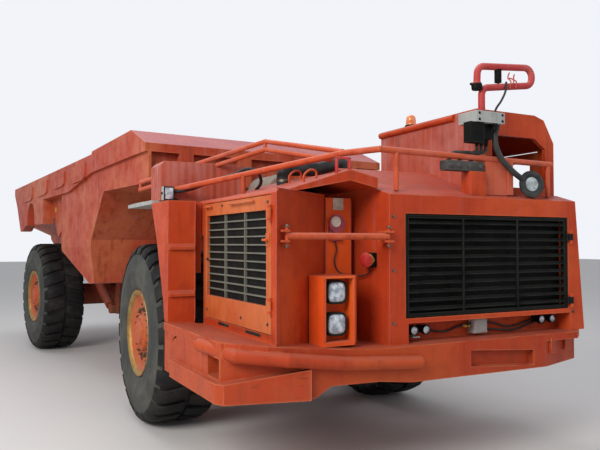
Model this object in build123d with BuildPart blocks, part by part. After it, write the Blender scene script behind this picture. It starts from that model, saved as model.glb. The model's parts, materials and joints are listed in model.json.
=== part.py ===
# Articulated low-profile mine haul truck: power unit in front, steering pivot, rear frame and dump bed.
# The truck faces -Y, +X is its left side, +Z is up and the tyres stand on Z = 0.
# Each piece is drawn with the front axle at Y = 0 and the centreline at X = 0.
from build123d import *
from math import cos, hypot, radians, sin
import os

os.makedirs("parts", exist_ok=True)

# Overall layout
wheelbase = 5550
pivot_y = 1800
park_turn = 6.5
steer_lock = 42
origin_x = 219.67
origin_y = -2357.56

# Tyres, rims and axles
tyre_d = 1750
tyre_w = 660
tyre_face_x = 1600
lug_depth = 32
lug_count = 26
rim_d = 690
flange_d = 850
hub_d = 380
hub_seat_x = 1130
wheel_dish_x = 1500
axle_tube_d = 360
spindle_d = 260
bowl_d = 560
bowl_x = 300
axle_z = tyre_d / 2

# Clearances
pin_gap = 0.5
seat_gap = 0.3
swing_gap = 8
door_gap = 12

# Front frame
front_beam_x = 300
front_beam_w = 120
front_beam_h = 330
front_beam_z = 760
front_beam_end_y = 1000
yoke_r = 190
yoke_w = 520
yoke_plate_t = 60
yoke_low_z = 620
yoke_high_z = 1230
pivot_pin_d = 120

# Rear frame
rear_beam_x = 380
rear_beam_w = 130
rear_beam_low_z = 1100
rear_beam_top_z = 1340
rear_beam_start_y = 2330
rear_beam_end_y = 6560
tongue_w = 320

# Front bumper with its deck; the right end (-X) is rounded and rises to the fender
bumper_right_x = 1620
bumper_left_x = 1730
bumper_front_y = -2580
bumper_rear_y = -1120
bumper_low_z = 705
corner_y = -2400
skirt_wall = 80
grille_gap = 8
deck_side_z = 1100
deck_front_z = 1000
deck_plate = 60
bar_d = 96
bar_y = -2615

# Nose: radiator housing at the left of the deck
nose_x0 = -334
nose_x1 = 1643
nose_foot_x1 = 1740
nose_front_y = -2500
nose_flank_y = -2085
nose_rear_y = -1700
nose_flank_x = -373
nose_top_z = 2117
nose_crease_z = 2245
nose_rear_z = 2390
lean_z = 1900
lean_x = 58
grille_x0 = -190
grille_x1 = 1552
grille_z0 = 1190
grille_z1 = 1975
grille_depth = 120
sill_h = 38
slat_count = 12

# Right side box with its service door
box_x = 1285
box_front_y = -2555
box_inner_x = 670
box_inner_y = -2120
box_rear_y = -940
box_top_z = 2120
door_z0 = 1130
door_z1 = 2085
door_front_y = -2470
door_rear_y = -1165
door_edge_gap = 10
door_t = 40

# Fender, raised box and step behind it
fender_x = 1600
fender_inner_x = 1365
fender_front_y = -1130
arch_y = -1000
body_top_z = 2110
tank_z = 2500
tank_y0 = -640
tank_y1 = -330

# Hood lip and engine cover
hood_t = 80
hood_front_y = -2420
hood_rear_y = -950
hood_peak_z = 2290
cover_top_z = 2240
engine_top_z = 1900

# Cab
cab_x0 = 700
cab_x1 = 1610
cab_front_y = -2300
cab_rear_y = -900
cab_floor_z = 1160
cab_top_z = 2885
cab_wall = 40
window_z0 = 2235
window_z1 = 2680

# Guard rails
rail_d = 50
rail_z = 2440
rail_y = -2400

# Dump bed
bed_half_w = 1600
panel_in = 40
arch_in = 150
bed_wall = 30
channel_half_w = 840
bed_front_y = 450
board_y = 540
bed_peak_y = 870
bed_peak_z = 2985
bed_step_y = 2280
bed_step_z = 2915
bed_top_rear_z = 2740
bed_tail_y = 7250
shelf_z = 2386
hopper_y = 2500
hopper_end_y = 3865
hopper_low_z = 1240
floor_z = 1500
wing_z = 1900
hinge_y = 6420
hinge_z = 1250
dump_travel = 55
bed_pin_d = 90

# Cylinders: eye places and sizes
dump_x = 700
dump_base = (4150, 720)
dump_eye = (5357, 1372)
steer_z = 930
steer_base = (520, 850)
steer_eye = (380, 2090)
rod_d = 80
barrel_d = 140
bore_d = 108
eye_d = 130
eye_pin_d = 50
eye_w = 90
eye_reach = 120
open_gap = 8

# Door hinges
hinge_pin_d = 16
knuckle_d = 32
knuckle_h = 60
hinge_lug_h = 26


pivot_place = Location((0, pivot_y, 0)) * Location((0, 0, 0), (0, 0, park_turn)) * Location((0, -pivot_y, 0))
front_place = Location((origin_x, origin_y, 0))
rear_place = front_place * pivot_place


def save(builder, name, place=front_place):
    piece = builder.part.moved(place)
    piece.label = name
    export_step(piece, f"parts/{name}.step")


def box(x0, x1, y0, y1, z0, z1, mode=Mode.ADD):
    with Locations(((x0 + x1) / 2, (y0 + y1) / 2, (z0 + z1) / 2)):
        Box(x1 - x0, y1 - y0, z1 - z0, mode=mode)


def prism(plane, points, length, mode=Mode.ADD):
    with BuildSketch(plane) as outline:
        with BuildLine():
            Polyline(*points, close=True)
        make_face()
    extrude(outline.sketch, amount=length, mode=mode)


def side_prism(points, x0, x1, mode=Mode.ADD):
    # points are (y, z)
    prism(Plane.YZ.offset(x0), points, x1 - x0, mode)


def front_prism(points, y0, y1, mode=Mode.ADD):
    # points are (x, z)
    prism(Plane.XZ.offset(-y1), points, y1 - y0, mode)


def plan_prism(points, z0, z1, mode=Mode.ADD):
    # points are (x, y)
    prism(Plane.XY.offset(z0), points, z1 - z0, mode)


def rod_between(start, end, diameter, mode=Mode.ADD):
    a, b = Vector(*start), Vector(*end)
    with BuildSketch(Plane(origin=a, z_dir=b - a)) as ring:
        Circle(diameter / 2)
    extrude(ring.sketch, amount=(b - a).length, mode=mode)


def disc_x(x0, x1, y, z, diameter, mode=Mode.ADD):
    rod_between((x0, y, z), (x1, y, z), diameter, mode)


def bent_tube(points, radius, diameter):
    with BuildLine() as path:
        FilletPolyline(*points, radius=radius)
    with BuildSketch(Plane(origin=path.line @ 0, z_dir=path.line % 0)) as ring:
        Circle(diameter / 2)
    sweep(ring.sketch, path=path.line)


# height of the deck's top across the truck, from the right end to the left
deck_top = [(-bumper_right_x - 10, deck_side_z), (-1380, deck_side_z - 20), (-930, 1034), (-730, 1015),
            (nose_flank_x - 5, deck_front_z), (bumper_left_x + 10, deck_front_z)]

# A door hinge: the pin with its two lugs stands on the fixed part, the knuckle and strap on the door
def hinge_pin(x, y, z, seat):
    half = knuckle_h / 2
    rod_between((x, y, z - half - hinge_lug_h), (x, y, z + half + hinge_lug_h), hinge_pin_d)
    for low in (z - half - hinge_lug_h, z + half + pin_gap):
        rod_between((x, y, low), (x, y, low + hinge_lug_h - pin_gap), knuckle_d)
        box(*seat, low, low + hinge_lug_h - pin_gap)


def hinge_knuckle(x, y, z, strap):
    low, high = z - knuckle_h / 2, z + knuckle_h / 2
    rod_between((x, y, low), (x, y, high), knuckle_d)
    box(*strap, low, high)
    rod_between((x, y, low - 1), (x, y, high + 1), hinge_pin_d + 2 * pin_gap, Mode.SUBTRACT)


def deck_z(x):
    # height of the deck's top across the truck
    for (x0, z0), (x1, z1) in zip(deck_top, deck_top[1:]):
        if x0 <= x <= x1:
            return z0 + (z1 - z0) * (x - x0) / (x1 - x0)
    return deck_top[-1][1]


# Wheels: one rim and one tyre at each corner
def make_wheel():
    mid = tyre_face_x - tyre_w / 2
    half = tyre_w / 2
    tyre_r = tyre_d / 2 - lug_depth
    with BuildPart() as tyre:
        with BuildSketch(Plane.XZ) as section:
            with BuildLine():
                Polyline(
                    (half - 90, rim_d / 2 + seat_gap), (half - 40, flange_d / 2), (half, tyre_r * 0.72),
                    (half - 25, tyre_r * 0.93), (half - 85, tyre_r), (0, tyre_r),
                )
                Line((0, tyre_r), (0, rim_d / 2 + 60))
                Line((0, rim_d / 2 + 60), (half - 90, rim_d / 2 + seat_gap))
            make_face()
            mirror(about=Plane.YZ)
        revolve(section.sketch, axis=Axis.X)
    with BuildPart() as lugs:
        for bank in (1, -1):
            with BuildSketch(Plane.XY.offset(tyre_r - 12)) as lug:
                with BuildLine():
                    Polyline(
                        (bank * (half - 30), -48), (bank * (half - 30), 48),
                        (bank * 25, 78), (bank * 25, 8), close=True,
                    )
                make_face()
            extrude(lug.sketch, amount=lug_depth + 20)
        with BuildSketch(Plane.YZ.offset(-half)) as reach:
            Circle(tyre_d / 2)
        extrude(reach.sketch, amount=tyre_w, mode=Mode.INTERSECT)
    with BuildPart() as rim:
        with BuildSketch(Plane.XZ) as profile:
            with BuildLine():
                Polyline(
                    (half - 40, flange_d / 2 - 6), (half - 90, rim_d / 2), (-half + 90, rim_d / 2),
                    (-half + 40, flange_d / 2 - 6), (-half + 28, flange_d / 2 - 12),
                    (-half + 80, rim_d / 2 - 18), (wheel_dish_x - mid - 20, rim_d / 2 - 18),
                    (wheel_dish_x - mid - 60, hub_d / 2),
                    (wheel_dish_x - mid - 60, spindle_d / 2 + pin_gap),
                    (wheel_dish_x - mid + 40, spindle_d / 2 + pin_gap),
                    (wheel_dish_x - mid + 40, hub_d / 2 - 20), (wheel_dish_x - mid, hub_d / 2),
                    (wheel_dish_x - mid + 10, rim_d / 2 - 40),
                    (half - 80, rim_d / 2 - 18), (half - 28, flange_d / 2 - 12), close=True,
                )
            make_face()
        revolve(profile.sketch, axis=Axis.X)
    tyre_part = tyre.part
    for row in range(lug_count):
        for index, piece in enumerate(lugs.part.solids()):
            angle = 360 / lug_count * (row + 0.5 * index)
            tyre_part = tyre_part + Location((0, 0, 0), (angle, 0, 0)) * piece
    return tyre_part, rim.part


def save_wheel(side, y, name, place):
    turn = Location(((tyre_face_x - tyre_w / 2) * side, y, axle_z), (0, 0, 0 if side > 0 else 180))
    for part, label in ((tyre_part, f"tyre_{name}"), (rim_part, f"rim_{name}")):
        placed = part.moved(place * turn)
        placed.label = label
        export_step(placed, f"parts/{label}.step")


# Axles: a tube with a spindle in each rim
def make_axle(y, name, saddle_z, saddle_x, place):
    spindle_end = wheel_dish_x + 20
    tube_end = hub_seat_x - 120
    with BuildPart() as axle:
        with BuildSketch(Plane(origin=(0, y, axle_z), x_dir=(1, 0, 0), z_dir=(0, -1, 0))) as profile:
            with BuildLine():
                Polyline(
                    (-spindle_end, 0), (-spindle_end, spindle_d / 2), (-tube_end, spindle_d / 2),
                    (-tube_end, axle_tube_d / 2), (-bowl_x, axle_tube_d / 2), (-bowl_x / 3, bowl_d / 2),
                    (bowl_x / 3, bowl_d / 2), (bowl_x, axle_tube_d / 2), (tube_end, axle_tube_d / 2),
                    (tube_end, spindle_d / 2), (spindle_end, spindle_d / 2), (spindle_end, 0), close=True,
                )
            make_face()
        revolve(profile.sketch, axis=Axis((0, y, axle_z), (1, 0, 0)))
        for side in (1, -1):
            mid = saddle_x * side
            box(mid - 60, mid + 60, y - 150, y + 150, axle_z, saddle_z - seat_gap)
    save(axle, name, place)


tyre_part, rim_part = make_wheel()
for corner, side in (("right", -1), ("left", 1)):
    save_wheel(side, 0, f"front_{corner}", front_place)
    save_wheel(side, wheelbase, f"rear_{corner}", rear_place)
front_saddle_z = front_beam_z + front_beam_h
make_axle(0, "front_axle", front_saddle_z, front_beam_x + 130, front_place)
make_axle(wheelbase, "rear_axle", rear_beam_low_z, rear_beam_x, rear_place)

# Front frame: two beams, a cross beam behind the bumper and the steering yoke
beam_front_y = bumper_front_y + skirt_wall
beam_front_top = deck_front_z - deck_plate - seat_gap
with BuildPart() as front_frame:
    for side in (1, -1):
        mid = front_beam_x * side
        inner, outer = mid - front_beam_w / 2, mid + front_beam_w / 2
        box(inner, outer, bumper_rear_y + 20, front_beam_end_y, front_saddle_z, front_saddle_z + 160)
        box(inner, outer, bumper_rear_y + 20, -420, front_beam_z, front_saddle_z)
        box(inner, outer, beam_front_y + seat_gap, bumper_rear_y + 21, front_beam_z, beam_front_top)
        box(inner, outer, 420, front_beam_end_y, front_beam_z, front_saddle_z)
        low = (front_beam_x + 60) * side
        box(min(low, low + 160 * side), max(low, low + 160 * side), -150, 150,
            front_saddle_z, front_saddle_z + 90)
        eye_x, eye_y = steer_base[0] * side, steer_base[1]
        for level in (steer_z + eye_w / 2 + pin_gap, steer_z - eye_w / 2 - pin_gap - 30):
            root_x = (front_beam_x - 40) * side
            box(min(root_x, eye_x), max(root_x, eye_x), eye_y - 70, eye_y + 70, level, level + 30)
    yoke_top_z = yoke_high_z + yoke_plate_t
    box(-front_beam_x, front_beam_x, front_beam_end_y - 160, front_beam_end_y, yoke_low_z, yoke_top_z)
    box(-yoke_w / 2, yoke_w / 2, front_beam_end_y - 60, front_beam_end_y + 90, yoke_low_z, yoke_top_z)
    box(-front_beam_x, front_beam_x, -1500, -1380, front_beam_z, beam_front_top)
    for level in (yoke_low_z, yoke_high_z):
        plan_prism([(-yoke_w / 2, front_beam_end_y - 40), (yoke_w / 2, front_beam_end_y - 40),
                    (yoke_r, pivot_y), (-yoke_r, pivot_y)], level, level + yoke_plate_t)
        with Locations((0, pivot_y, level + yoke_plate_t / 2)):
            Cylinder(yoke_r, yoke_plate_t)
    with Locations((0, pivot_y, (yoke_low_z + yoke_high_z + yoke_plate_t) / 2)):
        Cylinder(pivot_pin_d / 2, yoke_high_z - yoke_low_z + yoke_plate_t + 60)
    for side in (1, -1):
        rod_between((steer_base[0] * side, steer_base[1], steer_z - eye_w / 2 - 40),
                    (steer_base[0] * side, steer_base[1], steer_z + eye_w / 2 + 40), eye_pin_d)
save(front_frame, "front_frame")

# Rear frame: tongue on the pivot pin, nose box, two beams and the brackets
tongue_low = yoke_low_z + yoke_plate_t + swing_gap
tongue_high = yoke_high_z - swing_gap
nose_box_y = rear_beam_start_y - 60
nose_box_end_y = rear_beam_start_y + 700
steer_gap = barrel_d / 2 + open_gap
with BuildPart() as rear_frame:
    with Locations((0, pivot_y, (tongue_low + tongue_high) / 2)):
        Cylinder(tongue_w / 2, tongue_high - tongue_low)
    box(-tongue_w / 2, tongue_w / 2, pivot_y, rear_beam_start_y, tongue_low, tongue_high)
    side_prism([(nose_box_y, tongue_low - 40), (nose_box_y + 320, tongue_low - 40),
                (nose_box_end_y, rear_beam_low_z), (nose_box_end_y, rear_beam_top_z),
                (nose_box_y, tongue_high)], -rear_beam_x - 65, rear_beam_x + 65)
    with Locations((0, pivot_y, (tongue_low + tongue_high) / 2)):
        Cylinder(pivot_pin_d / 2 + pin_gap, tongue_high - tongue_low + 2, mode=Mode.SUBTRACT)
    for side in (1, -1):
        mid = rear_beam_x * side
        box(mid - rear_beam_w / 2, mid + rear_beam_w / 2, nose_box_end_y - 200, rear_beam_end_y,
            rear_beam_low_z, rear_beam_top_z)
        out = mid + rear_beam_w / 2 * side
        bracket_y, bracket_z = dump_base
        bracket_in = (dump_x - eye_w / 2 - pin_gap) * side
        side_prism([(bracket_y - 220, rear_beam_low_z + 40), (bracket_y - 30, rear_beam_low_z + 40),
                    (bracket_y + 50, bracket_z - 70), (bracket_y - 70, bracket_z - 70)],
                   min(out - 30 * side, bracket_in), max(out - 30 * side, bracket_in))
        disc_x(min(bracket_in, (dump_x + 60) * side), max(bracket_in, (dump_x + 60) * side),
               bracket_y, bracket_z, eye_pin_d)
        eye_x, eye_y = steer_eye[0] * side, steer_eye[1]
        for level in (steer_z + steer_gap, steer_z - steer_gap - 30):
            box(eye_x - 70, eye_x + 70, eye_y, nose_box_y + 40, level, level + 30)
            rod_between((eye_x, eye_y, level), (eye_x, eye_y, level + 30), 140)
        for low in (steer_z + steer_gap + 30, steer_z - steer_gap - 50):
            rod_between((eye_x, eye_y, low), (eye_x, eye_y, low + 20), eye_pin_d + 30)
    box(-rear_beam_x, rear_beam_x, rear_beam_end_y - 420, rear_beam_end_y - 300, rear_beam_low_z,
        rear_beam_top_z)
    disc_x(-rear_beam_x - 230, rear_beam_x + 230, hinge_y, hinge_z, bed_pin_d)
save(rear_frame, "rear_frame", rear_place)


# A cylinder's barrel and rod along the line from its base eye to its rod eye; the rod's pin stub ends
# short of the open bracket that it moves between
def make_cylinder(base, eye, shortest, cross, stub, name, place):
    a, b = Vector(*base), Vector(*eye)
    along = (b - a).normalized()
    length = (b - a).length
    barrel_end = shortest - eye_reach
    piston = 140 + length - shortest
    with BuildPart() as barrel:
        rod_between(a + along * (eye_d / 2 - 12), a + along * eye_reach, rod_d)
        rod_between(a + along * (eye_reach - 10), a + along * barrel_end, barrel_d)
        rod_between(a - cross * (eye_w / 2), a + cross * (eye_w / 2), eye_d)
        rod_between(a + along * (eye_reach + 10), a + along * (barrel_end - 50), bore_d, Mode.SUBTRACT)
        rod_between(a + along * (barrel_end - 60), a + along * (barrel_end + 10), rod_d + 2 * pin_gap,
                    Mode.SUBTRACT)
        rod_between(a - cross * eye_w, a + cross * eye_w, eye_pin_d + 2 * pin_gap, Mode.SUBTRACT)
    with BuildPart() as rod:
        rod_between(a + along * piston, a + along * (length - eye_d / 2 + 12), rod_d)
        rod_between(a + along * piston, a + along * (piston + 60), bore_d - 2 * pin_gap)
        rod_between(b - cross * (eye_w / 2), b + cross * (eye_w / 2), eye_d)
        rod_between(b - cross * stub, b + cross * stub, eye_pin_d)
    save(barrel, f"{name}_barrel", place)
    save(rod, f"{name}_rod", place)


def steer_reach(side, turn):
    # pin to pin length of one steering cylinder with the rear frame turned
    x, y = steer_eye[0] * side, steer_eye[1] - pivot_y
    eye_at = (x * cos(radians(turn)) - y * sin(radians(turn)),
              pivot_y + x * sin(radians(turn)) + y * cos(radians(turn)))
    return hypot(eye_at[0] - steer_base[0] * side, eye_at[1] - steer_base[1])


full_in = steer_reach(1, -steer_lock)
full_out = steer_reach(1, steer_lock)
steer_rate = abs(full_out - full_in) / (2 * steer_lock)
dump_rest = hypot(dump_eye[0] - dump_base[0], dump_eye[1] - dump_base[1])
for corner, side in (("right", -1), ("left", 1)):
    eye = (pivot_place * Location((steer_eye[0] * side, steer_eye[1], steer_z))).position
    inward = steer_lock + park_turn * side if full_out > full_in else steer_lock - park_turn * side
    make_cylinder((steer_base[0] * side, steer_base[1], steer_z), (eye.X, eye.Y, eye.Z),
                  steer_reach(side, park_turn) - steer_rate * inward, Vector(0, 0, 1),
                  steer_gap - open_gap + 2, f"steer_{corner}", front_place)
    make_cylinder((dump_x * side, *dump_base), (dump_x * side, *dump_eye), dump_rest,
                  Vector(1, 0, 0), eye_w / 2 + 2, f"dump_{corner}", rear_place)

# Engine and gearbox as one plain block between the beams
with BuildPart() as engine:
    box(-front_beam_x + 80, front_beam_x - 80, bumper_rear_y + 30, -330, front_beam_z + 60,
        front_saddle_z + 170)
    box(-330, 500, -1600, 200, front_saddle_z + 160 + seat_gap, engine_top_z)
save(engine, "engine")

# Bumper: skirt, deck plate, half-round rubbing bar, low corner ledge, pocket and pads
ledge_out = 45
with BuildPart() as bumper:
    front_prism([(-bumper_right_x, bumper_low_z), *deck_top, (bumper_left_x, bumper_low_z)],
                bumper_front_y, bumper_rear_y)
    plan_prism([(-bumper_right_x, bumper_rear_y), (-bumper_right_x, corner_y), (-1060, bumper_front_y),
                (1180, bumper_front_y), (bumper_left_x, corner_y), (bumper_left_x, bumper_rear_y)],
               0, deck_side_z + 100, mode=Mode.INTERSECT)
    wall = skirt_wall
    plan_prism([(-bumper_right_x + wall, bumper_rear_y + 5), (-bumper_right_x + wall, corner_y + 50),
                (-1060, bumper_front_y + wall), (1180, bumper_front_y + wall),
                (bumper_left_x - wall, corner_y + 50), (bumper_left_x - wall, bumper_rear_y + 5)],
               0, deck_front_z - deck_plate, mode=Mode.SUBTRACT)
    front_prism([(-1000, 0), (-1000, bumper_low_z), (-880, bumper_low_z + 69), (-480, bumper_low_z + 62),
                 (-200, bumper_low_z + 30), (bumper_left_x + 1, bumper_low_z + 25), (bumper_left_x + 1, 0)],
                bumper_front_y - 1, bumper_rear_y + 1, mode=Mode.SUBTRACT)
with BuildPart() as deck:
    front_prism([*deck_top, *[(x, z - deck_plate) for x, z in reversed(deck_top)]],
                bumper_front_y, bumper_rear_y)
    plan_prism([(-bumper_right_x - 10, bumper_rear_y), (-bumper_right_x - 10, corner_y + 40),
                (-1520, bumper_front_y + 80), (-1360, bumper_front_y), (1560, bumper_front_y),
                (bumper_left_x - 30, bumper_front_y + 100), (bumper_left_x + 10, corner_y + 40),
                (bumper_left_x + 10, bumper_rear_y)], 0, deck_side_z + 100, mode=Mode.INTERSECT)
with BuildPart() as ledge:
    x = -bumper_right_x
    plan_prism([(x + 10, -1410), (x - ledge_out, -1410), (x - ledge_out, corner_y - 20),
                (x - 10, corner_y - 90), (-1060, bumper_front_y - 50), (-1060, bumper_front_y + 20),
                (x + 20, corner_y + 10)], bumper_low_z, 910)
    front_prism([(x - 100, 835), (x, 838), (-1060, 910), (-1060, 1000), (x - 100, 1000)],
                bumper_front_y - 100, -1300, mode=Mode.SUBTRACT)
with BuildPart() as rub_bar:
    bar = [(-1645, -2090, 1045), (-1540, -2480, 1015), (-1230, bar_y, 985), (-770, bar_y, 925),
           (-160, bar_y, 885)]
    for start, end in zip(bar, bar[1:]):
        rod_between(start, end, bar_d)
    for point in bar:
        with Locations(point):
            Sphere(bar_d / 2 + 1)
with BuildPart() as bumper_whole:
    add(bumper.part)
    add(deck.part)
    add(ledge.part)
    add(rub_bar.part)
    x = -bumper_right_x
    box(x - 2, x + wall + 1, -2380, -2160, 850, 985, mode=Mode.SUBTRACT)
    with BuildSketch(Plane.YZ.offset(x - 11)) as slot:
        with Locations((-1430, 905)):
            Circle(118)
            Circle(98, mode=Mode.SUBTRACT)
        with Locations((-1390, 905)):
            Rectangle(110, 240, mode=Mode.INTERSECT)
    extrude(slot.sketch, amount=30, mode=Mode.SUBTRACT)
    front_prism([(368, 925), (1041, 880), (1041, 760), (368, 800)], bumper_front_y - 1, bumper_front_y + 55,
                mode=Mode.SUBTRACT)
    left_slope = (corner_y - bumper_front_y) / (bumper_left_x - 1180)
    for x0, x1 in ((1238, 1307), (1500, 1630)):
        y0, y1 = (bumper_front_y + left_slope * (x - 1180) for x in (x0, x1))
        plan_prism([(x0, y0 - 25), (x1, y1 - 25), (x1, y1 + 40), (x0, y0 + 40)], 834, 963)
save(bumper_whole, "bumper")


def nose_z(y):
    # height of the nose's sloping top
    low, high = (nose_front_y, nose_top_z), (nose_flank_y, nose_crease_z)
    return low[1] + (high[1] - low[1]) * (y - low[0]) / (high[0] - low[0])


# Nose: radiator housing with the grille opening, the recess under it and the slanted right flank
nose_low_z = deck_front_z + seat_gap
hinge_grille_x = grille_x1 + 14
hinge_grille_y = nose_front_y - knuckle_d / 2 - 2
grille_hinge_z = (grille_z0 + 70, grille_z1 - 170)
with BuildPart() as nose:
    plan_prism([(nose_x0, nose_front_y), (nose_foot_x1, nose_front_y), (nose_foot_x1, cab_front_y - seat_gap),
                (cab_x0 - seat_gap, cab_front_y - seat_gap), (cab_x0 - seat_gap, nose_rear_y),
                (nose_flank_x, nose_rear_y), (nose_flank_x, nose_flank_y)], nose_low_z, nose_rear_z)
    side_prism([(nose_front_y, nose_low_z), (nose_front_y, nose_top_z), (nose_flank_y, nose_crease_z),
                (nose_rear_y, nose_rear_z), (nose_rear_y, nose_low_z)], nose_flank_x - 1, nose_foot_x1 + 1,
               mode=Mode.INTERSECT)
    front_prism([(nose_flank_x - 1, 0), (nose_flank_x - 1, lean_z),
                 (nose_flank_x - 1 + lean_x, nose_rear_z + 10), (nose_x1, nose_rear_z + 10),
                 (nose_x1, nose_top_z), (nose_foot_x1 + 1, nose_low_z)],
                nose_front_y, nose_rear_y, mode=Mode.INTERSECT)
    box(grille_x0, grille_x1, nose_front_y - 5, nose_front_y + grille_depth, grille_z0, grille_z1,
        mode=Mode.SUBTRACT)
    box(grille_x0 + 25, grille_x1 + 15, nose_front_y - 5, nose_front_y + grille_depth + 50,
        nose_low_z - 1, grille_z0 - sill_h, mode=Mode.SUBTRACT)
    for level in grille_hinge_z:
        hinge_pin(hinge_grille_x, hinge_grille_y, level,
                  (hinge_grille_x - 12, hinge_grille_x + 14, hinge_grille_y, nose_front_y + 2))
save(nose, "nose")

with BuildPart() as front_grille:
    pitch = (grille_z1 - grille_z0) / slat_count
    edge = grille_gap
    face, back = nose_front_y + 5, nose_front_y + 45
    box(grille_x0 + edge, grille_x1 - edge, face, back, grille_z0 + edge, grille_z1 - edge)
    box(grille_x0 + 33, grille_x1 - 45, face - 1, back + 1, grille_z0 + 33, grille_z1 - 33,
        mode=Mode.SUBTRACT)
    for row in range(1, slat_count):
        level = grille_z0 + pitch * row
        side_prism([(face, level - 8), (face + 10, level - 14), (back - 4, level + 6),
                    (back - 14, level + 14)], grille_x0 + 32, grille_x1 - 44)
    for level in grille_hinge_z:
        box(grille_x1 - 40, grille_x1 - 12, hinge_grille_y - 6, face + 1, level - 30, level + 30)
        hinge_knuckle(hinge_grille_x, hinge_grille_y, level,
                      (grille_x1 - 40, hinge_grille_x, hinge_grille_y - 6, hinge_grille_y + 6))
save(front_grille, "front_grille")

with BuildPart() as radiator:
    box(grille_x0 + 20, grille_x1 - 20, nose_front_y + grille_depth - 30,
        nose_front_y + grille_depth - seat_gap, grille_z0 + 10, grille_z1 - 10)
save(radiator, "radiator")

# Right side box with its slanted front, and the door opening in its outer side
hinge_door_x = -box_x - knuckle_d / 2 - 1
hinge_door_y = door_front_y - 14
door_hinge_z = (door_z0 + 200, door_z1 - 130)
front_slope = (box_inner_y - box_front_y) / (box_x - box_inner_x)
with BuildPart() as side_box:
    under = [(x, z + seat_gap) for x, z in deck_top if -box_x < x < -box_inner_x]
    front_prism([(-box_x, deck_z(-box_x) + seat_gap), *under,
                 (-box_inner_x, deck_z(-box_inner_x) + seat_gap), (-box_inner_x, box_top_z),
                 (-box_x + 25, box_top_z), (-box_x, box_top_z - 25)], box_front_y, bumper_rear_y)
    front_prism([(-box_x, body_top_z - 290), (-box_inner_x, body_top_z - 290), (-box_inner_x, box_top_z),
                 (-box_x + 25, box_top_z), (-box_x, box_top_z - 25)], bumper_rear_y - 1, box_rear_y)
    plan_prism([(-box_x, box_front_y), (-box_inner_x, box_inner_y), (-box_inner_x, box_rear_y),
                (-box_x, box_rear_y)], 0, box_top_z + 1, mode=Mode.INTERSECT)
    box(-box_x - 1, -box_x + door_t + 30, door_front_y - 6, door_rear_y + door_edge_gap, door_z0, door_z1,
        mode=Mode.SUBTRACT)
    for level in door_hinge_z:
        hinge_pin(hinge_door_x, hinge_door_y, level,
                  (hinge_door_x, -box_x + 2, hinge_door_y - 14, hinge_door_y + 6))
save(side_box, "side_box")

grille_y = (door_front_y + 75, door_rear_y - 38)
grille_z = (door_z0 + 190, door_z1 - 105)
with BuildPart() as side_door:
    box(-box_x, -box_x + door_t, door_front_y, door_rear_y, door_z0 + 6, door_z1 - 6)
    box(-box_x - 1, -box_x + door_t + 1, *grille_y, *grille_z, mode=Mode.SUBTRACT)
    for level in door_hinge_z:
        box(-box_x - 10, -box_x - seat_gap, hinge_door_y, door_front_y + 60, level - 30, level + 30)
        box(-box_x - 1, -box_x + 1, door_front_y + 5, door_front_y + 60, level - 30, level + 30)
        hinge_knuckle(hinge_door_x, hinge_door_y, level,
                      (hinge_door_x - 6, hinge_door_x + 6, hinge_door_y, door_front_y + 20))
save(side_door, "side_door")

# Door grille: a backing screen with rods across it
row_count, post_count = 10, 2
with BuildPart() as side_door_grille:
    box(-box_x + 26, -box_x + 32, grille_y[0] + seat_gap, grille_y[1] - seat_gap,
        grille_z[0] + seat_gap, grille_z[1] - seat_gap)
    row_pitch = (grille_z[1] - grille_z[0]) / (row_count + 1)
    for row in range(row_count):
        level = grille_z[0] + row_pitch * (row + 1)
        box(-box_x + 10, -box_x + 27, grille_y[0] + seat_gap, grille_y[1] - seat_gap, level - 5, level + 5)
    post_pitch = (grille_y[1] - grille_y[0]) / (post_count + 1)
    for post in range(post_count):
        mid = grille_y[0] + post_pitch * (post + 1)
        box(-box_x + 6, -box_x + 27, mid - 5, mid + 5, grille_z[0] + seat_gap, grille_z[1] - seat_gap)
save(side_door_grille, "side_door_grille")

# Left lower body under the cab
with BuildPart() as left_body:
    box(cab_x0 + 5, 1270, cab_front_y + 5, bumper_rear_y, nose_low_z, cab_floor_z - seat_gap)
save(left_body, "left_body")

# Fenders with the front of each wheel arch; the right one has two ribs across its face
arch = [(arch_y, 1250), (arch_y + 200, 1750), (arch_y + 400, body_top_z)]
with BuildPart() as fender_right:
    side_prism([(fender_front_y, deck_front_z), (arch_y - 60, deck_front_z), *arch,
                (fender_front_y, body_top_z)], -fender_x, -fender_inner_x)
    front_prism([(-bumper_right_x - 10, 0), *[(x, z + seat_gap) for x, z in deck_top], (0, 0)],
                fender_front_y - 1, arch_y + 10, mode=Mode.SUBTRACT)
    side_prism([(arch_y - 60, 1500), *arch[1:], (arch_y - 60, body_top_z)], -fender_inner_x - 1, -box_x - 5)
    for level in (1330, 1720):
        side_prism([(fender_front_y + 1, level + 28), (fender_front_y + 1, level - 20),
                    (fender_front_y - 22, level - 20), (fender_front_y - 22, level)],
                   -fender_x + 8, -fender_inner_x - 8)
save(fender_right, "fender_right")

with BuildPart() as fender_left:
    side_prism([(cab_rear_y + seat_gap, 1500), *arch[1:], (cab_rear_y + seat_gap, body_top_z)],
               cab_x0, fender_x)
save(fender_left, "fender_left")

# Raised tank behind the right fender, and the step plate under it
with BuildPart() as raised_box:
    front_prism([(-1530, body_top_z + 30), (-1530, tank_z - 40), (-1490, tank_z), (-720, tank_z),
                 (-700, tank_z - 20), (-700, body_top_z + 30)], tank_y0, tank_y1)
    box(-960, -700, box_rear_y + seat_gap, tank_y1, body_top_z - 290, body_top_z + 31)
save(raised_box, "raised_box")

with BuildPart() as step:
    box(-1600, -1180, -590, 300, body_top_z + 30 - 34, body_top_z + 30 - seat_gap)
    for row in range(9):
        y = -250 + 60 * row
        box(-1585, -1195, y, y + 14, body_top_z + 29, body_top_z + 38)
    box(-1200, -960 - seat_gap, -560, -380, body_top_z - 290, body_top_z + 10)
save(step, "step")

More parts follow.
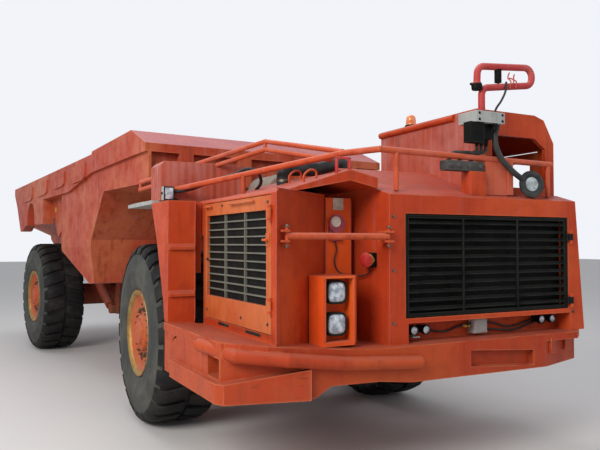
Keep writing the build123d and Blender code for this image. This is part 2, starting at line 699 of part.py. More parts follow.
# Hood lip over the side box and the cover over the engine
with BuildPart() as hood:
    front_prism([(-1150, box_top_z + seat_gap), (-1060, box_top_z + seat_gap), (-620, hood_peak_z - hood_t),
                 (nose_flank_x - 7, cover_top_z - hood_t), (nose_flank_x - 7, cover_top_z),
                 (-620, hood_peak_z)], hood_front_y, hood_rear_y)
    front_prism([(-box_inner_x + seat_gap, engine_top_z + 50), (-box_inner_x + seat_gap, 2110),
                 (-300, cover_top_z), (300, cover_top_z), (cab_x0 - seat_gap, 2110),
                 (cab_x0 - seat_gap, engine_top_z + 50)], nose_rear_y + seat_gap, 0)
save(hood, "hood")

# zone under the hood lip's upper face, cut from what stands on it
under_hood = [(-1150, 2000), (-1150, box_top_z + 2 * seat_gap), (-620, hood_peak_z + seat_gap),
              (nose_flank_x, cover_top_z + seat_gap), (nose_flank_x, 2000)]

# Lamp box on the deck in front of the side box, with the pillar behind it
lamp_x, lamp_zs, lamp_size = -772, (1180, 1405), 170
lamp_front_y = -2517
lamp_low_z = deck_z(-898) + seat_gap
with BuildPart() as lamp_box:
    plan_prism([(-898, lamp_front_y), (-650, lamp_front_y), (-560, lamp_front_y + 117),
                (-560, box_inner_y - 12), (-box_inner_x - 2, box_inner_y - 12),
                (-898, box_front_y + (box_x - 898) * front_slope - 12)], lamp_low_z, 1520)
    box(-884, -660, lamp_front_y - 1, lamp_front_y + 117, lamp_low_z + 30, 1505, mode=Mode.SUBTRACT)
    plan_prism([(-box_inner_x + 5, box_inner_y - 13), (-440, box_inner_y - 13), (-440, nose_rear_y - 1),
                (-box_inner_x + 5, nose_rear_y - 1)], deck_z(-665) + seat_gap, body_top_z - 10)
save(lamp_box, "lamp_box")

with BuildPart() as headlamps:
    for level in lamp_zs:
        with BuildSketch(Plane.XZ.offset(-(lamp_front_y + 117 - seat_gap))) as lens:
            with Locations((lamp_x, level)):
                RectangleRounded(lamp_size, lamp_size, 45)
        extrude(lens.sketch, amount=75)
save(headlamps, "headlamps")

# Cab: hollow shell with a chamfered left roof edge, window openings, door, seat and roof parts
roof = [(cab_x0, cab_top_z), (cab_x1 - 234, cab_top_z), (cab_x1 - 120, cab_top_z - 35),
        (cab_x1, cab_top_z - 235)]
lining = [(cab_x0 + cab_wall, cab_top_z - cab_wall), (cab_x1 - 244, cab_top_z - cab_wall),
          (cab_x1 - 150, cab_top_z - cab_wall - 32), (cab_x1 - cab_wall, cab_top_z - 250)]
hinge_cab_x = cab_x1 + knuckle_d / 2 + 1
hinge_cab_y = cab_front_y + 150 + door_gap - 14
cab_hinge_z = (cab_floor_z + 250, 2300)
door_top_z = 2600
with BuildPart() as cab_shell:
    front_prism([(cab_x0, cab_floor_z), *roof, (cab_x1, cab_floor_z)], cab_front_y, cab_rear_y)
    front_prism([(cab_x0 + cab_wall, cab_floor_z + cab_wall), *lining,
                 (cab_x1 - cab_wall, cab_floor_z + cab_wall)],
                cab_front_y + cab_wall, cab_rear_y - cab_wall, mode=Mode.SUBTRACT)
    front_prism([(870, window_z0), (870, window_z1), (cab_x1 - 240, window_z1),
                 (cab_x1 - 100, window_z1 - 90), (cab_x1 - 80, window_z0)],
                cab_front_y - 1, cab_front_y + cab_wall + 1, mode=Mode.SUBTRACT)
    front_prism([(870, window_z0), (870, window_z1), (cab_x1 - 240, window_z1),
                 (cab_x1 - 120, window_z1 - 90), (cab_x1 - 120, window_z0)],
                cab_rear_y - cab_wall - 1, cab_rear_y + 1, mode=Mode.SUBTRACT)
    box(cab_x1 - cab_wall - 1, cab_x1 + 1, cab_front_y + 150, cab_rear_y - 150, cab_floor_z + cab_wall,
        door_top_z, mode=Mode.SUBTRACT)
    rod_between((cab_x0 - 5, cab_front_y + 270, cab_top_z - 35), (cab_x0 - 5, cab_rear_y, cab_top_z - 35), 60)
    for level in cab_hinge_z:
        hinge_pin(hinge_cab_x, hinge_cab_y, level,
                  (cab_x1 - 2, hinge_cab_x, hinge_cab_y - 14, hinge_cab_y))
save(cab_shell, "cab_shell")

with BuildPart() as cab_door:
    y0, y1 = cab_front_y + 150 + door_gap, cab_rear_y - 150 - door_gap
    z0, z1 = cab_floor_z + cab_wall + door_gap, door_top_z - door_gap
    box(cab_x1 - cab_wall, cab_x1, y0, y1, z0, z1)
    box(cab_x1 - cab_wall - 1, cab_x1 + 1, y0 + 80, y1 - 80, window_z0 - 60, z1 - 80, mode=Mode.SUBTRACT)
    for level in cab_hinge_z:
        box(cab_x1 + seat_gap, cab_x1 + 10, hinge_cab_y, y0 + 60, level - 30, level + 30)
        box(cab_x1 - 1, cab_x1 + 1, y0 + 5, y0 + 60, level - 30, level + 30)
        hinge_knuckle(hinge_cab_x, hinge_cab_y, level,
                      (hinge_cab_x - 6, hinge_cab_x + 6, hinge_cab_y, y0 + 20))
save(cab_door, "cab_door")

seat_low_z = cab_floor_z + cab_wall + seat_gap
with BuildPart() as seat:
    box(cab_x0 + 250, cab_x1 - 270, -1550, -1100, seat_low_z, 1600)
    side_prism([(-1210, 1599), (-1100, 1599), (-1040, 2150), (-1130, 2150)], cab_x0 + 260, cab_x1 - 280)
save(seat, "seat")

with BuildPart() as beacon:
    beacon_at = (cab_x0 + 100, -1270)
    with Locations((*beacon_at, cab_top_z + seat_gap + 15)):
        Cylinder(62, 30)
    with Locations((*beacon_at, cab_top_z + seat_gap + 70)):
        Cone(52, 46, 80)
    with Locations((*beacon_at, cab_top_z + seat_gap + 110)):
        Sphere(46, arc_size1=0)
save(beacon, "beacon")

# Grey pipe box ahead of the cab roof, the red pipe on it and the round mirror under it
pipe_box_x, pipe_box_y, pipe_box_z = (500, 800), (-2520, cab_front_y - 5), (2725, 2815)
with BuildPart() as pipe_box:
    box(*pipe_box_x, *pipe_box_y, *pipe_box_z)
    box(455, 598, -2500, -2415, 2560, pipe_box_z[0] + 1)
save(pipe_box, "pipe_box")

pipe_y = -2410
with BuildPart() as return_pipe:
    low_run, high_run = (1225, pipe_y, 3112), (1225, pipe_y, 3264)
    bent_tube([(654, pipe_y, pipe_box_z[1] + seat_gap), (654, pipe_y, 3030), low_run, high_run,
               (612, pipe_y, 3205), (604, pipe_y, 3040)], 74, 57)
    with BuildSketch(Plane.XY.offset(3020)) as collar:
        with Locations((603.6, pipe_y)):
            Circle(36)
    extrude(collar.sketch, amount=50)
save(return_pipe, "return_pipe")

mirror_at, mirror_tilt = (1121, -2462, 2262), 35
with BuildPart() as mirror:
    bent_tube([(785, -2450, pipe_box_z[0] - 4), (752, -2450, 2600), (815, -2450, 2480),
               (930, -2455, 2364), (1085, -2462, 2300)], 60, 28)
    mirror_face = (sin(radians(mirror_tilt)), -cos(radians(mirror_tilt)), 0.1)
    with BuildSketch(Plane(origin=mirror_at, x_dir=(1, 0, 0), z_dir=mirror_face)) as disc:
        Circle(112)
    extrude(disc.sketch, amount=12, both=True)
save(mirror, "mirror")

# Air pipe hump over the engine cover, and the work lamp on the fender
with BuildPart() as intake_elbow:
    bent_tube([(-740, -1550, 2210), (-740, -1550, 2375), (-420, -1560, 2385), (-150, -1580, 2470),
               (-150, -1580, cover_top_z + seat_gap)], 60, 110)
    front_prism(under_hood, hood_front_y, hood_rear_y, mode=Mode.SUBTRACT)
save(intake_elbow, "intake_elbow")

with BuildPart() as work_lamp:
    box(-1525, -1430, -730, -660, body_top_z + 28, body_top_z + 150)
    box(-1500, -1455, -710, -680, body_top_z + seat_gap, body_top_z + 29)
save(work_lamp, "work_lamp")

# Guard rails: along the right side and across the front, the doubled bar above, and the bar over the recess
with BuildPart() as guard_rail:
    side_end = (-1400, tank_y0 - seat_gap, 2240)
    rail = [side_end, (-550, -2200, rail_z), (-350, rail_y, rail_z + 20), (1450, rail_y, rail_z)]
    for start, end in zip(rail, rail[1:]):
        rod_between(start, end, rail_d)
    for x, y, top in ((-550, -2200, rail_z), (-350, rail_y, rail_z + 20), (1450, rail_y, rail_z)):
        with Locations((x, y, top)):
            Sphere(rail_d / 2 + 1)
    post_x, post_y = -1017, -1347
    rod_between((post_x, post_y, box_top_z + 10), (post_x, post_y, 2330), 40)
    front_prism(under_hood, hood_front_y, hood_rear_y, mode=Mode.SUBTRACT)
    for x in (-200, 1420):
        rod_between((x, rail_y, nose_z(rail_y + 20) + seat_gap), (x, rail_y, rail_z), 40)
    box(690, 930, rail_y - 10, rail_y + 10, nose_z(rail_y + 10) + seat_gap, rail_z)
    box(930, 985, rail_y - 25, rail_y + 25, nose_z(rail_y + 25) + seat_gap, rail_z)
    box(630, 690, rail_y - 12, rail_y + 12, rail_z, pipe_box_z[0] - seat_gap)
    upper = [(-1500, 200, 2370), (-700, -1100, 2670), (-550, -2000, 2490), (-550, -2200, rail_z + 10)]
    for start, end in zip(upper, upper[1:]):
        rod_between(start, end, 42)
        if start != upper[2]:
            rod_between((start[0], start[1], start[2] - 75), (end[0], end[1], end[2] - 75), 42)
    for x, y, top in upper[:3]:
        rod_between((x, y, top - 75), (x, y, top), 30)
        for level in (top - 75, top):
            with Locations((x, y, level)):
                Sphere(22)
    box(-1530 - seat_gap, -700 + seat_gap, tank_y0 - seat_gap, tank_y1 + seat_gap, 2000, tank_z + seat_gap,
        mode=Mode.SUBTRACT)
    bar_z = 1800
    ear_x, ear_y = -1215, box_front_y + (box_x - 1215) * front_slope
    rod_between((ear_x + 12, -2532, bar_z), (-372, -2532, bar_z), 48)
    for low in (bar_z - 42, bar_z + 28):
        plan_prism([(ear_x - 32, ear_y - 32 * front_slope - 1), (ear_x + 30, ear_y + 30 * front_slope - 1),
                    (ear_x + 30, -2560), (ear_x - 32, -2575)], low, low + 14)
        plan_prism([(nose_x0 - 6.5, nose_front_y + 60), (-400, nose_front_y + 60), (-400, -2560),
                    (nose_x0 - 2, -2560)], low, low + 14)
    for x, y in ((ear_x + 15, -2540), (-365, -2532)):
        rod_between((x, y, bar_z - 62), (x, y, bar_z + 62), 22)
save(guard_rail, "guard_rail")

# Dump bed: wide front part, twin-lobed hopper under it and narrower rear part over the wheels; each is drawn
# as a side profile crossed with a section, and again set in by the wall to hollow it
bed_slope = (bed_step_z - 35 - bed_top_rear_z) / (bed_tail_y - bed_step_y - 30)


def top_z(y):
    # height of the straight top edge behind the step
    return bed_step_z - 35 - bed_slope * (y - bed_step_y - 30)


def crossed(side, section):
    with BuildPart() as solid:
        side_prism(side, -bed_half_w - 50, bed_half_w + 50)
        front_prism(section, board_y - 20, bed_tail_y + 40, mode=Mode.INTERSECT)
    return solid.part


def bed_body(inset, lift, tail):
    over = 3400
    panel = bed_half_w - panel_in - inset
    rear_half = bed_half_w - arch_in - inset
    low = channel_half_w - inset
    end = hopper_end_y - inset
    front = crossed([(board_y + inset, shelf_z + inset), (board_y + inset, 2839 + lift),
                     (bed_peak_y, bed_peak_z + lift), (bed_step_y, bed_step_z + lift),
                     (bed_step_y + 30, bed_step_z - 35 + lift), (end, top_z(end) + lift),
                     (end, 1703 + inset), (hopper_y + inset, 1703 + inset),
                     (1922 + inset, shelf_z + inset)],
                    [(-panel, 1500), (-panel, over), (panel, over), (panel, 1500)])
    lobe = [(panel, over), (panel, 1700), (panel - 80 + inset / 3, hopper_low_z - 90),
            (520 + inset, hopper_low_z - 90), (480 + inset, 1390 + inset)]
    hopper = crossed([(1922 + inset, shelf_z + inset), (2420 + inset, 1800),
                      (hopper_y + inset, hopper_low_z + inset), (2700, hopper_low_z - 25 + inset),
                      (end, 1640 + inset), (end, 2450), (2100, 2450)],
                     [*[(-x, z) for x, z in lobe], *reversed(lobe)])
    begin = hopper_end_y - 30 - inset
    foot = [(begin, 1720), (begin + 80, 1475 + 2 * inset)] if inset else [(begin, 1475)]
    rear = crossed([(begin, top_z(begin) + lift), *foot, (4300, floor_z + inset), (6650, floor_z + inset),
                    (bed_tail_y + tail, floor_z + 330 + inset), (bed_tail_y + tail, bed_top_rear_z + lift)],
                   [(-rear_half, over), (-rear_half, wing_z + 250 + inset), (-low - 60, wing_z + inset),
                    (-low, floor_z - 300), (low, floor_z - 300), (low + 60, wing_z + inset),
                    (rear_half, wing_z + 250 + inset), (rear_half, over)])
    with BuildPart() as body:
        add(front)
        add(hopper)
        add(rear)
    return body.part


# rubbing lips on the side rails: front end, top and lower edge
lips = [(2530, 2800, 2585), (3540, 2779, 2573), (4550, 2740, 2520), (5560, 2700, 2477)]
bed_outer = bed_body(0, 0, 0)
bed_inner = bed_body(bed_wall, 400, 20)
# side skirts over the rear wheels, each with its arch
with BuildPart() as skirts:
    for side in (1, -1):
        side_prism([(4849, 2500), (4849, 2060), (6081, 2062), (6350, 1965), (6500, 1960), (6825, 2423),
                    (6825, 2500)], min(1440 * side, bed_half_w * side), max(1440 * side, bed_half_w * side))
        box(min(1451 * side, 1700 * side), max(1451 * side, 1700 * side), 5430, 5967, 1900, 2164,
            mode=Mode.SUBTRACT)
        disc_x(min(1451 * side, 1700 * side), max(1451 * side, 1700 * side), 5698.5, 2164, 537,
               Mode.SUBTRACT)
with BuildPart() as bed:
    add(bed_outer)
    add(bed_inner, mode=Mode.SUBTRACT)
    add(skirts.part)
    side_prism([(bed_front_y, 2710), (bed_front_y, 2800), (bed_peak_y, bed_peak_z), (990, 2955), (990, 2870),
                (bed_peak_y, 2880)], -bed_half_w, bed_half_w)
    for side in (1, -1):
        for x0, x1 in ((1050, 1210), (330, 490), (1530, 1560)):
            box(min(x0 * side, x1 * side), max(x0 * side, x1 * side), bed_front_y, board_y + 1,
                shelf_z, 2760)
        rail_low = [(3390, 2470), (2320, 2650), (bed_peak_y, 2700)]
        side_prism([(bed_front_y, 2710), (bed_front_y, 2800), (bed_peak_y, bed_peak_z),
                    (bed_step_y, bed_step_z), (bed_step_y + 30, bed_step_z - 35), (7031, top_z(7031)),
                    (7031, 2633), (6825, 2423), *rail_low],
                   min(1535 * side, bed_half_w * side), max(1535 * side, bed_half_w * side))
        side_prism([(3860, top_z(3860)), (7031, top_z(7031)), (7031, 2633), (6825, 2423), (3860, 2461)],
                   min(1425 * side, 1540 * side), max(1425 * side, 1540 * side))
        side_prism([(4072, 2170), (4072, 2040), (4498, 1851), (4690, 2077), (4690, 2170)],
                   min(1421 * side, 1449 * side), max(1421 * side, 1449 * side))
        for y, high, lower in lips:
            side_prism([(y, high), (y + 560, high - 20), (y + 560, lower - 20), (y + 90, lower),
                        (y + 25, lower + 28), (y, lower + 90)],
                       min(1555 * side, 1622 * side), max(1555 * side, 1622 * side))
        x0, x1 = (rear_beam_x + rear_beam_w / 2 + 40) * side, (rear_beam_x + rear_beam_w / 2 + 100) * side
        side_prism([(hinge_y - 120, floor_z + 2), (hinge_y + 120, floor_z + 2), (hinge_y + 80, hinge_z - 80),
                    (hinge_y - 80, hinge_z - 80)], min(x0, x1), max(x0, x1))
        disc_x(min(x0, x1) - 1, max(x0, x1) + 1, hinge_y, hinge_z, bed_pin_d + 2 * pin_gap, Mode.SUBTRACT)
        eye_y, eye_z = dump_eye
        for near in (1, -1):
            x0 = dump_x * side + (eye_w / 2 + open_gap) * near
            x1 = x0 + 25 * near
            side_prism([(eye_y - 90, floor_z + 2), (eye_y + 90, floor_z + 2), (eye_y + 60, eye_z - 60),
                        (eye_y - 60, eye_z - 60)], min(x0, x1), max(x0, x1))
            disc_x(min(x1 - near, x1 + 16 * near), max(x1 - near, x1 + 16 * near), eye_y, eye_z, 90)
save(bed, "bed", rear_place)
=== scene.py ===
import bmesh
import bpy
from math import atan2, cos, pi, radians, sin
from mathutils import Matrix, Vector
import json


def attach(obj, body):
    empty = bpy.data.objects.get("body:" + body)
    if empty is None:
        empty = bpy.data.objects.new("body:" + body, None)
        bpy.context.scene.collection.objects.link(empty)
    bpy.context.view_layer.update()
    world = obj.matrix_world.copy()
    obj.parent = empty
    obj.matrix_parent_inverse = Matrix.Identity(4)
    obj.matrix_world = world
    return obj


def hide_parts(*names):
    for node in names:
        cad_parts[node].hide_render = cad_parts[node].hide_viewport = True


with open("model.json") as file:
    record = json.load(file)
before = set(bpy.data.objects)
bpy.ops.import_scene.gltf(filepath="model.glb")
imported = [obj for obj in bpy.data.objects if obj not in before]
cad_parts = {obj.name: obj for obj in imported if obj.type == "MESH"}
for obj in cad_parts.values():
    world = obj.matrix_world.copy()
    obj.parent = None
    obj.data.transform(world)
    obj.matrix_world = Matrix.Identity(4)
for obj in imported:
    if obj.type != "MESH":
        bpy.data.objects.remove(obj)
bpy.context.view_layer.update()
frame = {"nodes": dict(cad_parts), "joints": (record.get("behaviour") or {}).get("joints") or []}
nodes = frame["nodes"]
print("frame loaded:", len(nodes), "nodes")

# the truck's own axes, from its wheel joints: X to its left, Y to the rear, metres
joints = {joint["name"]: joint for joint in frame["joints"]}
wheelAt = {name: Vector(joints["roll_" + name]["pos_m"])
           for name in ("front_left", "front_right", "rear_left", "rear_right")}
frontAxle = (wheelAt["front_left"] + wheelAt["front_right"]) / 2
steerPivot = Vector(joints["steer"]["pos_m"])
rearSpan = wheelAt["rear_left"] - wheelAt["rear_right"]
parkTurn = atan2(rearSpan.y, rearSpan.x)
frontPlace = Matrix.Translation((frontAxle.x, frontAxle.y, 0))
ahead, upward, leftward = (0, -1, 0), (0, 0, 1), (1, 0, 0)
pivotY = steerPivot.y - frontAxle.y
rearPlace = (frontPlace @ Matrix.Translation((0, pivotY, 0)) @ Matrix.Rotation(parkTurn, 4, "Z")
             @ Matrix.Translation((0, -pivotY, 0)))


# shader node helpers
def put(tree, kind, inputs=None, **options):
    item = tree.nodes.new(kind)
    for key, value in options.items():
        setattr(item, key, value)
    for key, value in (inputs or {}).items():
        if isinstance(value, bpy.types.NodeSocket):
            tree.links.new(value, item.inputs[key])
        else:
            item.inputs[key].default_value = value
    return item


def noise(tree, where, scale, detail=4, rough=0.55, spot=0):
    inputs = {"Vector": where, "Scale": scale, "Detail": detail, "Roughness": rough}
    item = put(tree, "ShaderNodeTexNoise", inputs)
    item.noise_dimensions = "4D" if spot else "3D"
    if spot:
        item.inputs["W"].default_value = spot
    return item.outputs[0]


def span(tree, value, low, high, toLow=0, toHigh=1):
    inputs = {"Value": value, "From Min": low, "From Max": high, "To Min": toLow, "To Max": toHigh}
    return put(tree, "ShaderNodeMapRange", inputs, interpolation_type="SMOOTHSTEP").outputs[0]


def times(tree, a, b, kind="MULTIPLY"):
    return put(tree, "ShaderNodeMath", {0: a, 1: b}, operation=kind).outputs[0]


def blendColour(tree, share, under, over):
    colour = [(*c, 1) if isinstance(c, tuple) else c for c in (under, over)]
    return put(tree, "ShaderNodeMix", {0: share, 6: colour[0], 7: colour[1]}, data_type="RGBA").outputs[2]


def newMaterial(name, **sockets):
    material = bpy.data.materials.new(name)
    material.use_nodes = True
    tree = material.node_tree
    shader = tree.nodes["Principled BSDF"]
    for key, value in sockets.items():
        shader.inputs[key].default_value = value
    where = put(tree, "ShaderNodeTexCoord").outputs["Object"]
    return material, tree, shader, where


def stretched(tree, where, scale):
    return put(tree, "ShaderNodeMapping", {"Vector": where, "Scale": scale}).outputs[0]


def cover(tree, shader, colour, rough, layers):
    # colour, roughness and layers of relief, (height, strength, distance) with the fine ones last
    tree.links.new(colour, shader.inputs["Base Color"])
    tree.links.new(rough, shader.inputs["Roughness"])
    normal = None
    for height, strength, distance in layers:
        inputs = {"Height": height, "Strength": strength, "Distance": distance}
        if normal:
            inputs["Normal"] = normal
        normal = put(tree, "ShaderNodeBump", inputs).outputs[0]
    tree.links.new(normal, shader.inputs["Normal"])


def edgeMask(tree, radius):
    # 1 at sharp edges: where the rounded normal leaves the true one
    rounded = put(tree, "ShaderNodeBevel", {"Radius": radius}, samples=4).outputs[0]
    true = put(tree, "ShaderNodeNewGeometry").outputs["Normal"]
    same = put(tree, "ShaderNodeVectorMath", {0: rounded, 1: true}, operation="DOT_PRODUCT").outputs["Value"]
    return span(tree, same, 0.995, 0.9)


# painted steel: the plain orange finish, which every other finish changes
# colours are linear; shares run from 0 to 1; dustTop and dustLow are heights, edge is a width in metres
orange = {
    "base": (0.44, 0.046, 0.012), "second": (0.52, 0.07, 0.017), "dark": (0.25, 0.026, 0.012),
    "bleach": (0.36, 0.12, 0.105), "worn": (0.6, 0.18, 0.075), "rust": (0.075, 0.027, 0.015),
    "dustColour": (0.26, 0.11, 0.055), "grimeColour": (0.17, 0.035, 0.02), "mottle": 0.4, "fade": 0.6,
    "streaks": 0.25, "grime": 0.35, "dust": 0.35, "wear": 0.6, "scuffs": 0.3, "chips": 0.7, "dents": 0.35,
    "ribs": 0, "patchScale": 1.1, "dustTop": 1.2, "dustLow": 0.5, "edge": 0.014, "gloss": 0.38,
    "specular": 0.14,
}


def paint(name, **changes):
    look = {**orange, **changes}
    material, tree, shader, where = newMaterial(name, **{"Specular IOR Level": look["specular"]})
    normal = put(tree, "ShaderNodeNewGeometry").outputs["Normal"]
    up = put(tree, "ShaderNodeSeparateXYZ", {0: normal}).outputs[2]
    height = put(tree, "ShaderNodeSeparateXYZ", {0: where}).outputs[2]
    broad = noise(tree, where, look["patchScale"], 5, 0.6)
    middle = noise(tree, where, 6.5, 6, 0.62, 3.1)
    fine = noise(tree, where, 42, 4, 0.65, 7.7)
    streak = noise(tree, stretched(tree, where, (9, 9, 0.55)), 1.6, 5, 0.6, 1.3)
    scrape = noise(tree, stretched(tree, where, (1.2, 1.2, 22)), 3.2, 5, 0.7, 4.4)
    colour = blendColour(tree, span(tree, broad, 0.4, 0.62), look["base"], look["second"])
    mottled = times(tree, span(tree, middle, 0.46, 0.72), look["mottle"])
    colour = blendColour(tree, mottled, colour, look["dark"])
    faded = times(tree, span(tree, up, 0.25, 0.9), span(tree, middle, 0.2, 0.7, 0.5, 1))
    colour = blendColour(tree, times(tree, faded, look["fade"]), colour, look["bleach"])
    runs = times(tree, span(tree, streak, 0.52, 0.72), span(tree, up, 0.6, 0.1))
    colour = blendColour(tree, times(tree, runs, look["streaks"]), colour, look["bleach"])
    drips = times(tree, span(tree, streak, 0.46, 0.34), span(tree, up, 0.6, 0.1))
    colour = blendColour(tree, times(tree, drips, look["grime"]), colour, look["grimeColour"])
    dusty = times(tree, span(tree, height, look["dustTop"], look["dustLow"]),
                  span(tree, middle, 0.3, 0.7, 0.3, 1))
    colour = blendColour(tree, times(tree, dusty, look["dust"]), colour, look["dustColour"])
    worn = times(tree, edgeMask(tree, look["edge"]), span(tree, middle, 0.34, 0.58))
    colour = blendColour(tree, times(tree, worn, look["wear"]), colour, look["worn"])
    scuffs = times(tree, span(tree, scrape, 0.6, 0.68), span(tree, middle, 0.42, 0.6))
    colour = blendColour(tree, times(tree, scuffs, look["scuffs"]), colour, look["rust"])
    chips = times(tree, span(tree, fine, 0.64, 0.72), span(tree, middle, 0.5, 0.66))
    colour = blendColour(tree, times(tree, chips, look["chips"]), colour, look["rust"])
    gloss = look["gloss"]
    rough = span(tree, times(tree, fine, middle, "ADD"), 0.7, 1.3, gloss, gloss + 0.25)
    layers = [(noise(tree, where, 2.6, 2, 0.4, 5.2), look["dents"], 0.02),
              (fine, 0.12, 0.002), (chips, 0.3, -0.0008)]
    if look["ribs"]:
        level = stretched(tree, where, (1, 1, 0))
        ridge = put(tree, "ShaderNodeTexWave", {"Vector": level, "Scale": look["ribs"]},
                    bands_direction="DIAGONAL").outputs[1]
        layers.append((times(tree, ridge, span(tree, up, 0.6, 0.1)), 0.5, 0.006))
    cover(tree, shader, colour, rough, layers)
    return material


bodyPaint = paint("bodyPaint")
doorPaint = paint("doorPaint", base=(0.5, 0.1, 0.026), second=(0.56, 0.15, 0.05), mottle=0.25)
# lamp box: its own, more orange paint, made lighter still as painted light against the side box's shade in
# the recess
lampOrangeAndPaintedLight = paint("lampOrangeAndPaintedLight", base=(0.74, 0.1, 0.014), second=(0.66, 0.075, 0.012), mottle=0.15,
    chips=0.35, grime=0.15)
bedPaint = paint("bedPaint", base=(0.42, 0.058, 0.024), second=(0.5, 0.125, 0.055), streaks=0.45,
    mottle=0.45, dents=0.8, fade=0.75, patchScale=0.8, grime=0.45, scuffs=0.45, bleach=(0.4, 0.165, 0.19))
roofPaint = paint("roofPaint", base=(0.44, 0.085, 0.05), second=(0.42, 0.125, 0.1),
    bleach=(0.44, 0.2, 0.185), streaks=0.8, fade=0.8, ribs=9)
railPaint = paint("railPaint", base=(0.52, 0.085, 0.03), second=(0.5, 0.12, 0.075),
    bleach=(0.55, 0.22, 0.17), edge=0.006, chips=0.9)
bumperPaint = paint("bumperPaint", base=(0.44, 0.066, 0.018), second=(0.38, 0.042, 0.013), chips=1,
    wear=0.8, dents=0.6, dust=0.2, dustTop=1.0, dustLow=0.6, scuffs=0.8, bleach=(0.36, 0.115, 0.08))
framePaint = paint("framePaint", base=(0.28, 0.04, 0.018), second=(0.2, 0.035, 0.02), mottle=0.7,
    dark=(0.05, 0.035, 0.03), dust=0.7, gloss=0.55)
rimPaint = paint("rimPaint", base=(0.46, 0.07, 0.02), second=(0.44, 0.12, 0.045), dust=0.5, dustTop=1.6,
    dustLow=0.1, dustColour=(0.38, 0.17, 0.075), chips=1, mottle=0.6)
redPaint = paint("redPaint", base=(0.46, 0.022, 0.022), second=(0.54, 0.045, 0.036),
    bleach=(0.58, 0.17, 0.15), worn=(0.62, 0.2, 0.16))
pipePaint = paint("pipePaint", base=(0.46, 0.05, 0.05), second=(0.5, 0.115, 0.105), dark=(0.3, 0.03, 0.028),
    bleach=(0.56, 0.24, 0.22), mottle=0.6)
greyPaint = paint("greyPaint", base=(0.33, 0.35, 0.34), second=(0.42, 0.43, 0.41), dark=(0.15, 0.15, 0.14),
    bleach=(0.55, 0.55, 0.52), worn=(0.6, 0.6, 0.58), dustColour=(0.33, 0.29, 0.23),
    grimeColour=(0.12, 0.11, 0.09))
blackSteel = paint("blackSteel", base=(0.004, 0.0045, 0.004), second=(0.008, 0.009, 0.008),
    dark=(0.002, 0.002, 0.002), bleach=(0.01, 0.011, 0.01), worn=(0.05, 0.052, 0.046),
    rust=(0.035, 0.018, 0.011), dust=0.05, dustColour=(0.03, 0.025, 0.02), gloss=0.55, specular=0.09,
    grimeColour=(0.008, 0.008, 0.008))
paleRods = paint("paleRods", base=(0.12, 0.125, 0.1), second=(0.16, 0.15, 0.12), dark=(0.05, 0.05, 0.04),
    bleach=(0.22, 0.21, 0.17), worn=(0.22, 0.21, 0.18), grimeColour=(0.04, 0.035, 0.03), dust=0.1,
    gloss=0.5)
castIron = paint("castIron", base=(0.06, 0.06, 0.058), second=(0.09, 0.085, 0.08), dark=(0.02, 0.02, 0.02),
    bleach=(0.14, 0.13, 0.12), worn=(0.15, 0.14, 0.13), dust=0.6, dustTop=2.0, dustLow=0.5,
    dustColour=(0.16, 0.12, 0.09), gloss=0.55, grimeColour=(0.03, 0.025, 0.02))


def rubber(name, **look):
    material, tree, shader, where = newMaterial(name, **{"Specular IOR Level": 0.16})
    broad = noise(tree, where, look["patchScale"], 6, 0.65)
    fine = noise(tree, where, 70, 5, 0.7, 2.2)
    colour = blendColour(tree, span(tree, broad, 0.38, 0.68), look["base"], look["dust"])
    colour = blendColour(tree, times(tree, span(tree, fine, 0.55, 0.8), 0.5), colour, look["scuff"])
    rough = span(tree, fine, 0.3, 0.7, look["gloss"], look["gloss"] + 0.22)
    cover(tree, shader, colour, rough, [(broad, 0.25, 0.01), (fine, 0.35, 0.003)])
    return material


sidewallRubber = rubber("sidewallRubber", base=(0.045, 0.048, 0.045), dust=(0.095, 0.092, 0.078),
    scuff=(0.032, 0.034, 0.034), patchScale=2.2, gloss=0.62)
treadRubber = rubber("treadRubber", base=(0.008, 0.008, 0.009), dust=(0.026, 0.024, 0.021),
    scuff=(0.004, 0.004, 0.004), patchScale=3.5, gloss=0.55)
hoseRubber = rubber("hoseRubber", base=(0.022, 0.024, 0.027), dust=(0.055, 0.055, 0.052),
    scuff=(0.012, 0.012, 0.013), patchScale=5, gloss=0.38)


# plain finishes of two mixed colours
def plainLook(name, base, second, rough, scale=18, bump=0.1, high=0.68, spread=0.15, depth=0.002,
              **sockets):
    material, tree, shader, where = newMaterial(name, **sockets)
    cloud = noise(tree, where, scale, 5, 0.6)
    colour = blendColour(tree, span(tree, cloud, 0.35, high), base, second)
    cover(tree, shader, colour, span(tree, cloud, 0.3, 0.7, rough, rough + spread), [(cloud, bump, depth)])
    return material


def metal(name, base, second, rough, scale=30):
    return plainLook(name, base, second, rough, scale, 0.08, 0.7, 0.2, 0.001, Metallic=1)


def ribbedGlass(name, base, second, ribs):
    material, tree, shader, where = newMaterial(name, **{"Coat Weight": 1.0, "Coat Roughness": 0.04})
    ridge = put(tree, "ShaderNodeTexWave", {"Vector": where, "Scale": ribs}, bands_direction="X").outputs[1]
    cloud = noise(tree, where, 25, 4)
    depth = times(tree, span(tree, cloud, 0.36, 0.62), span(tree, ridge, 0.2, 0.8, 0.7, 1))
    colour = blendColour(tree, depth, base, second)
    cover(tree, shader, colour, span(tree, cloud, 0.3, 0.7, 0.1, 0.25), [(ridge, 0.35, 0.002)])
    return material


